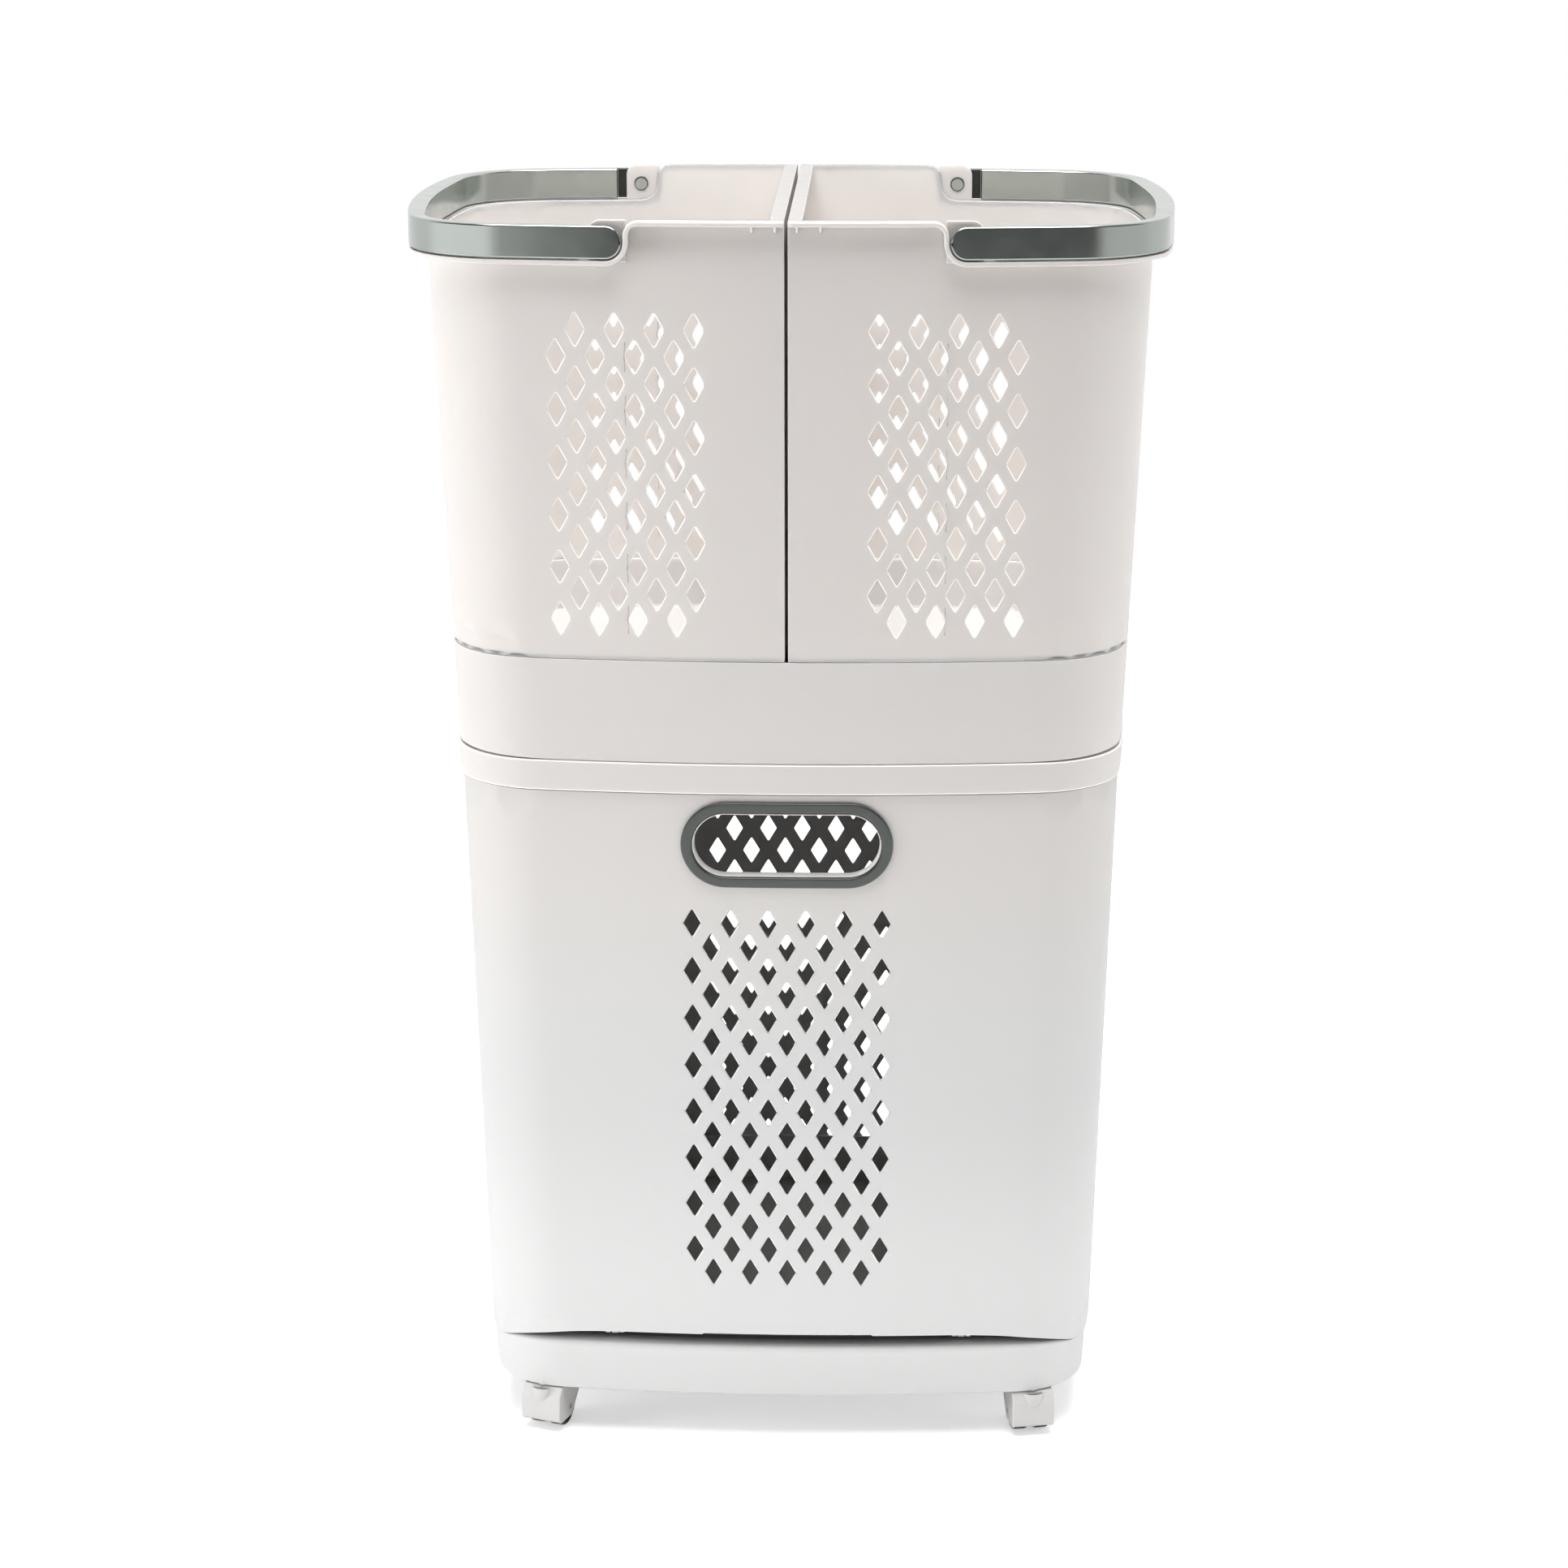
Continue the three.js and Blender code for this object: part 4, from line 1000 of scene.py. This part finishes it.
def oblong(turn, margin):
    # a point on the hand hole's outline grown by margin
    height = handHole["halfHeight"]
    half, radius = handHole["halfWidth"] - height, height + margin
    run = turn * (4 * half + 2 * math.pi * height)
    if run < 2 * half:
        return half - run, radius
    run -= 2 * half
    if run < math.pi * height:
        angle = math.pi / 2 + run / height
        return -half + radius * math.cos(angle), radius * math.sin(angle)
    run -= math.pi * height
    if run < 2 * half:
        return -half + run, -radius
    angle = -math.pi / 2 + (run - 2 * half) / height
    return half + radius * math.cos(angle), radius * math.sin(angle)


def roundHandHole(turn, margin, inset):
    x, z = oblong(turn, margin)
    return bend(lower, x, handHole["z"] + z, inset)


def handHoleCutter():
    # a tube that reaches through the wall
    cutter = disc(handHole["cutSteps"])
    for v in cutter.verts:
        x, z = oblong(turnOf(v), handHole["cut"])
        v.co = (x, handHole["cutFrom"], handHole["z"] + z)
    pull(cutter, cutter.faces[:], (0, handHole["cutLength"], 0))
    faceOut(cutter)
    return cutter


def handHoleCollar():
    thin, thick, proud, inside = handHole["lip"], handHole["collar"], -handHole["proud"], shell["wall"] / 2
    section = [(0, proud), (thin, proud), (thin, inside), (thick, inside), (thick, handHole["depth"]),
               (0, handHole["depth"])]
    ring = sweepLoop(section, roundHandHole, handHole["steps"])
    roundEdges(ring, handHole["edge"])
    return ring


def doorReturn():
    # the return along the door's top edge
    seam = stationAtY(lower, seamY, lower["z"]) - door["lipEnd"]
    bm = stationSheet(-seam, seam, shell["wall"] / 2, door["lip"], door["lipColumns"], 1)
    thicken(bm, door["lipThick"])

    def onTop(co):
        spot = bend(lower, co.x, door["top"] - door["lipDrop"], co.y)
        return Vector((spot.x, spot.y, min(doorHigh(spot.y) - door["lipDrop"], spot.z) + co.z))

    place(bm, onTop)
    return bm


def paintDoorHighlight(middle, normal):
    # painted highlight on the edges of the holes and the lower edge, in the front only
    front = middle.y < hinge["y"] and abs(middle.x) < door["paintedX"] and middle.z < door["paintedZ"]
    return door["edgeHighlight"] if front and abs(normal.y) < edgeTurn else 0


def doorParts():
    whole = merged(cutOut(doorWall(), handHoleCutter()), handHoleCollar(), doorReturn())
    markPaintedShadeAndTone(whole, paintDoorHighlight)
    return whole


def gripRing():
    margin, wide = handHole["lip"] + grip["gap"], grip["halfWidth"] - handHole["halfWidth"]
    section = [(margin, -grip["gap"]), (margin, -grip["proud"]), (wide, -grip["proud"]), (wide, -grip["gap"])]
    ring = sweepLoop(section, roundHandHole, grip["steps"])
    roundEdges(ring, grip["edge"], 4, clamp=True)
    return ring


def housingParts():
    # back and side walls, from one seam round the back to the other
    seam = back - stationAtY(lower, seamY + shell["seamGap"], lower["z"])
    wall = diamondSheet((-seam, seam, shell["bottom"], shell["top"]), backHoles, fieldRows(backHoles))
    thicken(wall, shell["wall"])
    roundEdges(wall, shell["edge"])

    def where(co):
        here = back - stationAtY(lower, seamY + shell["seamGap"], co.y)
        return bend(lower, towardSeam(co.x, seam, here) + back, co.y, -co.z)

    place(wall, where)
    parts = [wall]
    # cheeks inside the bin's wings, joined to the wall by a short joggle
    for side in (-1, 1):
        for fromY, toY, outer, inner in cheek["layers"]:
            start, finish = (stationAtY(lower, y, cheek["middle"]) for y in (fromY, toY))
            plate = stationSheet(start, finish, cheek["bottom"], cheek["top"], cheek["columns"],
                                 cheek["rows"])
            thicken(plate, inner - outer)
            roundEdges(plate, cheek["edge"])
            place(plate, lambda co, inset=outer: bend(lower, co.x, co.y, inset - co.z))
            if side < 0:
                stretch(plate, (-1, 1, 1))
                bmesh.ops.reverse_faces(plate, faces=plate.faces[:])
            parts.append(plate)
    return merged(*parts)


print("bin front and housing")
finishPiece("binFront", doorParts(), "bodyWhite", "bin", "bin_front")
finishPiece("gripRing", gripRing(), "gripGrey", "bin", "grip_ring")
finishPiece("housing", housingParts(), "bodyWhite", "frame", "rear_housing")

# ---- base ----
# the sill tone paints shade on the sill under the bin, within the limits that follow it
base = {"bottom": 0.0318, "wall": 0.003, "deck": 0.0594, "plate": 0.0026, "top": 0.0607, "curve": 0.0065,
        "curveEnd": 0.0006, "sill": 0.008, "sillEnd": 0.0035, "edge": 0.0012, "standTop": 0.0765,
        "standInset": 0.0025, "standEdge": 0.0005, "sillShade": -0.8, "paintedX": 0.185,
        "paintedBehind": 0.02, "paintedLevel": 0.9, "standMiddle": 0.07, "standColumns": 200, "steps": 280}
socket = {"radius": 0.0052, "bore": 0.00385, "boreTop": 0.058, "boreBelow": 0.002,
          "edge": 0.0004}
rib = {"y": 0.06, "half": 0.001, "bottom": 0.046, "edge": 0.0004, "middle": 0.05}
lug = {"x": 0.114, "half": 0.0023, "front": 0.0033, "back": 0.0045, "top": 0.078, "edge": 0.0006,
       "toeBack": 0.0028, "toeTop": 0.0682, "cutReach": 0.01}
caster = {"x": 0.161, "y": 0.115}
casterTurns = {"front_left": -20, "front_right": 11, "back_left": -11, "back_right": 11}
deckTop = base["deck"] + 0.001


def baseRing():
    # skirt, rounded shoulder and sill, drawn as steps of one closed section
    turns, strips = 7, 4

    def where(turn, step, unused):
        q = turn * 2 * back
        edge = bend(foot, q, base["top"], 0)
        rise = archShare(edge, arch["basePower"])
        size = base["curveEnd"] + base["curve"] * archShare(edge, arch["doorPower"])
        start = base["top"] + arch["baseRise"] * rise - size
        sill = base["sillEnd"] + base["sill"] * rise
        if step < 2:
            return bend(foot, q, base["bottom"], 0 if step else base["wall"])
        if step < 2 + turns:
            angle = (step - 2) / (turns - 1) * math.pi / 2
            return bend(foot, q, start + size * math.sin(angle), size * (1 - math.cos(angle)))
        if step < 2 + turns + strips:
            return bend(foot, q, start + size, size + sill * (step - 1 - turns) / strips)
        return bend(foot, q, deckTop, size + sill if step == 2 + turns + strips else base["wall"])

    ring = sweepLoop([(step, 0) for step in range(4 + turns + strips)], where, base["steps"])
    low = [e for e in sharpEdges(ring) if all(v.co.z < base["bottom"] + tiny for v in e.verts)]
    bevelEdges(ring, low, base["edge"])
    return ring


def baseStand():
    # the rim that stands inside the housing, behind the seam
    seam = stationAtY(lower, seamY + shell["seamGap"], base["standMiddle"])
    stand = stationSheet(seam, 2 * back - seam, deckTop, base["standTop"], base["standColumns"], 2)
    thicken(stand, base["wall"])
    roundEdges(stand, base["standEdge"])
    place(stand, lambda co: bend(lower, co.x, co.y, base["standInset"] - co.z))
    return stand


def baseSocket(x, y):
    tube = rod(socket["radius"], (x, y, base["bottom"]), (x, y, deckTop), socket["edge"])
    low = base["bottom"] - socket["boreBelow"]
    return cutOut(tube, rod(socket["bore"], (x, y, low), (x, y, socket["boreTop"])))


def hingeLug(x):
    # a lug with a bore for the pin, cut back in front so that it hides behind the sill
    y, half, reach = hinge["y"], lug["half"], lug["cutReach"]
    wide = (x - reach, x + reach)
    deep = (y - lug["front"], y + lug["back"])
    body = block((x - half, x + half), deep, (deckTop, lug["top"]), lug["edge"])
    bore = rod(hinge["bore"], (wide[0], y, hinge["z"]), (wide[1], y, hinge["z"]))
    toe = block(wide, (y - reach, y + lug["toeBack"]), (deckTop + 0.001, lug["toeTop"]))
    return cutOut(body, bore, toe)


def paintBaseSillShade(middle, normal):
    # painted shade: the sill under the bin is painted darker the deeper it lies
    inFront = middle.y <= hinge["y"] + base["paintedBehind"] and abs(middle.x) <= base["paintedX"]
    if not inFront or middle.z < base["top"] or normal.z < base["paintedLevel"]:
        return 0
    deep = middle.y - bend(foot, middle.x, middle.z, base["curve"]).y
    return base["sillShade"] * min(max(deep / base["sill"], 0), 1)


def baseParts():
    deck = deckPlate(foot, base["deck"] + base["plate"], base["wall"], base["plate"])
    parts = [baseRing(), deck, baseStand()]
    for y in (-rib["y"], rib["y"]):
        half = abs(bend(foot, stationAtY(foot, y, rib["middle"]), rib["middle"], base["wall"] / 2).x)
        parts.append(block((-half, half), (y - rib["half"], y + rib["half"]), (rib["bottom"], deckTop),
                           rib["edge"]))
    for side in (-1, 1):
        parts += [baseSocket(side * caster["x"], end * caster["y"]) for end in (-1, 1)]
        parts.append(hingeLug(side * lug["x"]))
    whole = merged(*parts)
    markPaintedShadeAndTone(whole, paintBaseSillShade)
    return whole


finishPiece("baseShell", baseParts(), "bodyWhite", "frame", "base_tray")
for side, sign in (("left", -1), ("right", 1)):
    ends = [(sign * x, hinge["y"], hinge["z"]) for x in hinge["pinX"]]
    pin = rod(hinge["pin"], *ends, hinge["pinEdge"])
    finishPiece("hingePin" + side.title(), pin, "pinSteel", "frame", "hinge_pin_" + side)

# ---- casters ----
hood = {"halfWidth": 0.014, "top": 0.031, "skin": 0.0016, "web": 0.003, "edge": 0.0009, "axleGap": 0.0003,
        "stemGap": 0.00035, "boreTop": 0.04, "boreHalf": 0.02}
boss = {"radius": 0.0064, "drop": 0.011, "squash": 0.75, "y": -0.0056, "flatY": -0.0066, "sunk": 0.0003}
# side views as y and z, the front of the hood to the left
hoodOutline = ((-0.008, 0.0085), (-0.005, 0.006), (0.012, 0.006), (0.025, 0.022), (0.025, 0.028),
               (0.022, 0.031), (-0.004, 0.031), (-0.008, 0.025))
hollowOutline = ((-0.0064, -0.001), (0.06, -0.001), (0.06, 0.0244), (0.022, 0.0284), (-0.003, 0.0294),
                 (-0.0064, 0.024))
wheel = {"width": 0.0098, "bore": 0.00185, "steps": 64}
# one side of the wheel from bore to tread: depth in from its face, and radius
wheelSide = ((0, wheel["bore"]), (0, 0.0045), (0.0012, 0.0052), (0.0012, 0.0098), (0, 0.0106), (0, 0.0116),
             (0.0005, 0.0126), (0.0015, 0.013))
axle = {"y": 0.009, "z": 0.013, "radius": 0.0015, "half": 0.0135, "edge": 0.0003}
stem = {"radius": 0.0035, "bottom": 0.029, "top": 0.057, "edge": 0.0005}


def axleRod(radius, half, edge=0.0):
    return rod(radius, (-half, axle["y"], axle["z"]), (half, axle["y"], axle["z"]), edge)


def hoodBoss():
    # the round boss in front of the stem: a squashed ball cut flat on top and behind
    bm = bmesh.new()
    bmesh.ops.create_uvsphere(bm, u_segments=40, v_segments=24, radius=boss["radius"])
    stretch(bm, (1, boss["squash"], boss["drop"] / boss["radius"]))
    move(bm, (0, boss["y"], hood["top"] - boss["sunk"]))
    sliceAt(bm, (0, 0, hood["top"]), (0, 0, 1), clear=True)
    sliceAt(bm, (0, boss["flatY"], 0), (0, 1, 0), clear=True)
    bmesh.ops.holes_fill(bm, edges=[e for e in bm.edges if e.is_boundary], sides=0)
    faceOut(bm)
    return bm


def hoodBody():
    half = hood["halfWidth"]
    body = prism([(-half, y, z) for y, z in hoodOutline], (2 * half, 0, 0))
    roundEdges(body, hood["edge"], 3, 25)
    inner = half - hood["skin"]
    cuts = []
    for low, high in ((hood["web"] / 2, inner), (-inner, -hood["web"] / 2)):
        cuts.append(prism([(low, y, z) for y, z in hollowOutline], (high - low, 0, 0)))
    cuts.append(axleRod(axle["radius"] + hood["axleGap"], hood["boreHalf"]))
    cuts.append(rod(stem["radius"] + hood["stemGap"], (0, 0, stem["bottom"] - hood["axleGap"]),
                    (0, 0, hood["boreTop"])))
    return merged(cutOut(body, *cuts), hoodBoss())


def wheelBody():
    # a plain wheel with a round tread edge, turned about its bore
    half = wheel["width"] / 2
    profile = [(depth - half, radius) for depth, radius in wheelSide]
    profile += [(-x, radius) for x, radius in reversed(profile)]
    bm = bmesh.new()
    verts = [bm.verts.new((x, 0, radius)) for x, radius in profile]
    edges = [bm.edges.new((verts[i], verts[(i + 1) % len(verts)])) for i in range(len(verts))]
    bmesh.ops.spin(bm, geom=verts + edges, cent=(0, 0, 0), axis=(1, 0, 0), angle=2 * math.pi,
                   steps=wheel["steps"], use_merge=True)
    bmesh.ops.remove_doubles(bm, verts=bm.verts[:], dist=1e-6)
    faceOut(bm)
    return bm


print("casters")
hoodSource, wheelSource = hoodBody(), wheelBody()
wheelX = (hood["halfWidth"] - hood["skin"] + hood["web"] / 2) / 2
for end, sy in (("front", -1), ("back", 1)):
    for side, sx in (("left", -1), ("right", 1)):
        name = f"caster_{end}_{side}"
        at = Matrix.Translation((sx * caster["x"], sy * caster["y"], 0))
        at = at @ Matrix.Rotation(math.radians(casterTurns[end + "_" + side]), 4, "Z")
        post = rod(stem["radius"], (0, 0, stem["bottom"]), (0, 0, stem["top"]), stem["edge"])
        pieces = [("hood", hoodSource.copy(), "casterGrey", name), ("stem", post, "pinSteel", name),
                  ("axle", axleRod(axle["radius"], axle["half"], axle["edge"]), "pinSteel", name)]
        for letter, sign in (("a", -1), ("b", 1)):
            disk = wheelSource.copy()
            move(disk, (sign * wheelX, axle["y"], axle["z"]))
            pieces.append(("wheel_" + letter, disk, "wheelDark", f"{name}_wheel_{letter}"))
        for part, bm, finish, body in pieces:
            bmesh.ops.transform(bm, matrix=at, verts=bm.verts[:])
            label = "caster" + end.title() + side.title() + part.title().replace("_", "")
            finishPiece(label, bm, finish, body, f"{name}_{part}")
hoodSource.free()
wheelSource.free()

# the bucket keeps its CAD shape and gets its finish
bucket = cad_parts["bin_bucket"]
bucket.data.materials.clear()
bucket.data.materials.append(materials["bucketWhite"])

# ---- studio ----
studio = {"behind": 1.0, "behindFade": (0, 0.35), "ahead": 0.05, "leftGlow": 1.35, "leftFade": (0.22, 0.57),
          "rightGlow": 0.8, "rightFade": (0.56, 0.78), "lowFade": (0, 0.2), "floorSize": 3.2,
          "floorSteps": 96, "floorTone": 0.92, "floorLift": 0.45}
lamps = [
    {"name": "leftSoftbox", "place": (-2.3, -0.7, 0.75), "aim": (0, 0, 0.55), "size": (1.0, 1.2),
     "power": 33},
    {"name": "rightSoftbox", "place": (2.3, -0.27, 0.75), "aim": (0, 0, 0.55), "size": (0.8, 1.2),
     "power": 18},
    {"name": "topSoftbox", "place": (0, -0.45, 2.6), "aim": (0, 0, 0.5), "size": (1.8, 1.8), "power": 71,
     "reflected": True},
    {"name": "lowCard", "place": (0, -0.75, 0.16), "aim": (0, 0, 0.06), "size": (1.1, 0.22), "power": 1.5},
]
white = (1, 1, 1, 1)


def studioWorld():
    # white behind the object, dark on the camera's side, and a soft glow left and right of the camera
    world = bpy.data.worlds.new("studioWorld")
    bpy.context.scene.world = world
    world.use_nodes = True
    tree = world.node_tree
    link = tree.links.new
    light = tree.nodes["Background"]
    setInputs(light, {"Color": white})
    coords = addNode(tree, "ShaderNodeTexCoord")
    parts = addNode(tree, "ShaderNodeSeparateXYZ")
    link(coords.outputs["Generated"], parts.inputs["Vector"])
    x, y, z = (parts.outputs[axis] for axis in "XYZ")
    left = fadeNode(tree, mathNode(tree, "MULTIPLY", x, -1), *studio["leftFade"], 0, studio["leftGlow"])
    right = fadeNode(tree, x, *studio["rightFade"], 0, studio["rightGlow"])
    sides = mathNode(tree, "ADD", left, right)
    low = mathNode(tree, "MULTIPLY", sides, fadeNode(tree, z, *studio["lowFade"], 1, 0))
    blend = addNode(tree, "ShaderNodeMix", data_type="FLOAT")
    setInputs(blend, {"B": studio["behind"]})
    link(mathNode(tree, "ADD", low, studio["ahead"]), blend.inputs["A"])
    link(fadeNode(tree, y, *studio["behindFade"]), blend.inputs["Factor"])
    link(blend.outputs["Result"], light.inputs["Strength"])
    seen = addNode(tree, "ShaderNodeBackground", {"Color": white})
    rays = addNode(tree, "ShaderNodeLightPath")
    direct = mathNode(tree, "MAXIMUM", rays.outputs["Is Camera Ray"], rays.outputs["Is Transmission Ray"])
    mix = addNode(tree, "ShaderNodeMixShader")
    link(direct, mix.inputs["Fac"])
    link(light.outputs[0], mix.inputs[1])
    link(seen.outputs[0], mix.inputs[2])
    link(mix.outputs[0], tree.nodes["World Output"].inputs["Surface"])


def studioFloor():
    mesh = bpy.data.meshes.new("studioFloor")
    bm = disc(studio["floorSteps"], studio["floorSize"])
    bm.to_mesh(mesh)
    bm.free()
    floor = bpy.data.objects.new("studioFloor", mesh)
    bpy.context.scene.collection.objects.link(floor)
    material, tree, shader, link = newMaterial("palePaper")
    tone = studio["floorTone"]
    setInputs(shader, {"Base Color": (tone, tone, tone, 1), "Roughness": 1, "Specular IOR Level": 0,
                       "Emission Color": white})
    rays = addNode(tree, "ShaderNodeLightPath")
    lift = mathNode(tree, "MULTIPLY", rays.outputs["Is Camera Ray"], studio["floorLift"])
    link(lift, shader.inputs["Emission Strength"])
    mesh.materials.append(material)


def studioLamps():
    for lamp in lamps:
        data = bpy.data.lights.new(lamp["name"], "AREA")
        data.shape = "RECTANGLE"
        data.size, data.size_y = lamp["size"]
        data.energy = lamp["power"]
        made = bpy.data.objects.new(lamp["name"], data)
        made.location = lamp["place"]
        aim = Vector(lamp["aim"]) - Vector(lamp["place"])
        made.rotation_euler = aim.to_track_quat("-Z", "Y").to_euler()
        made.visible_camera = False
        made.visible_glossy = lamp.get("reflected", False)
        bpy.context.scene.collection.objects.link(made)


studioWorld()
studioFloor()
studioLamps()
print("studio set")
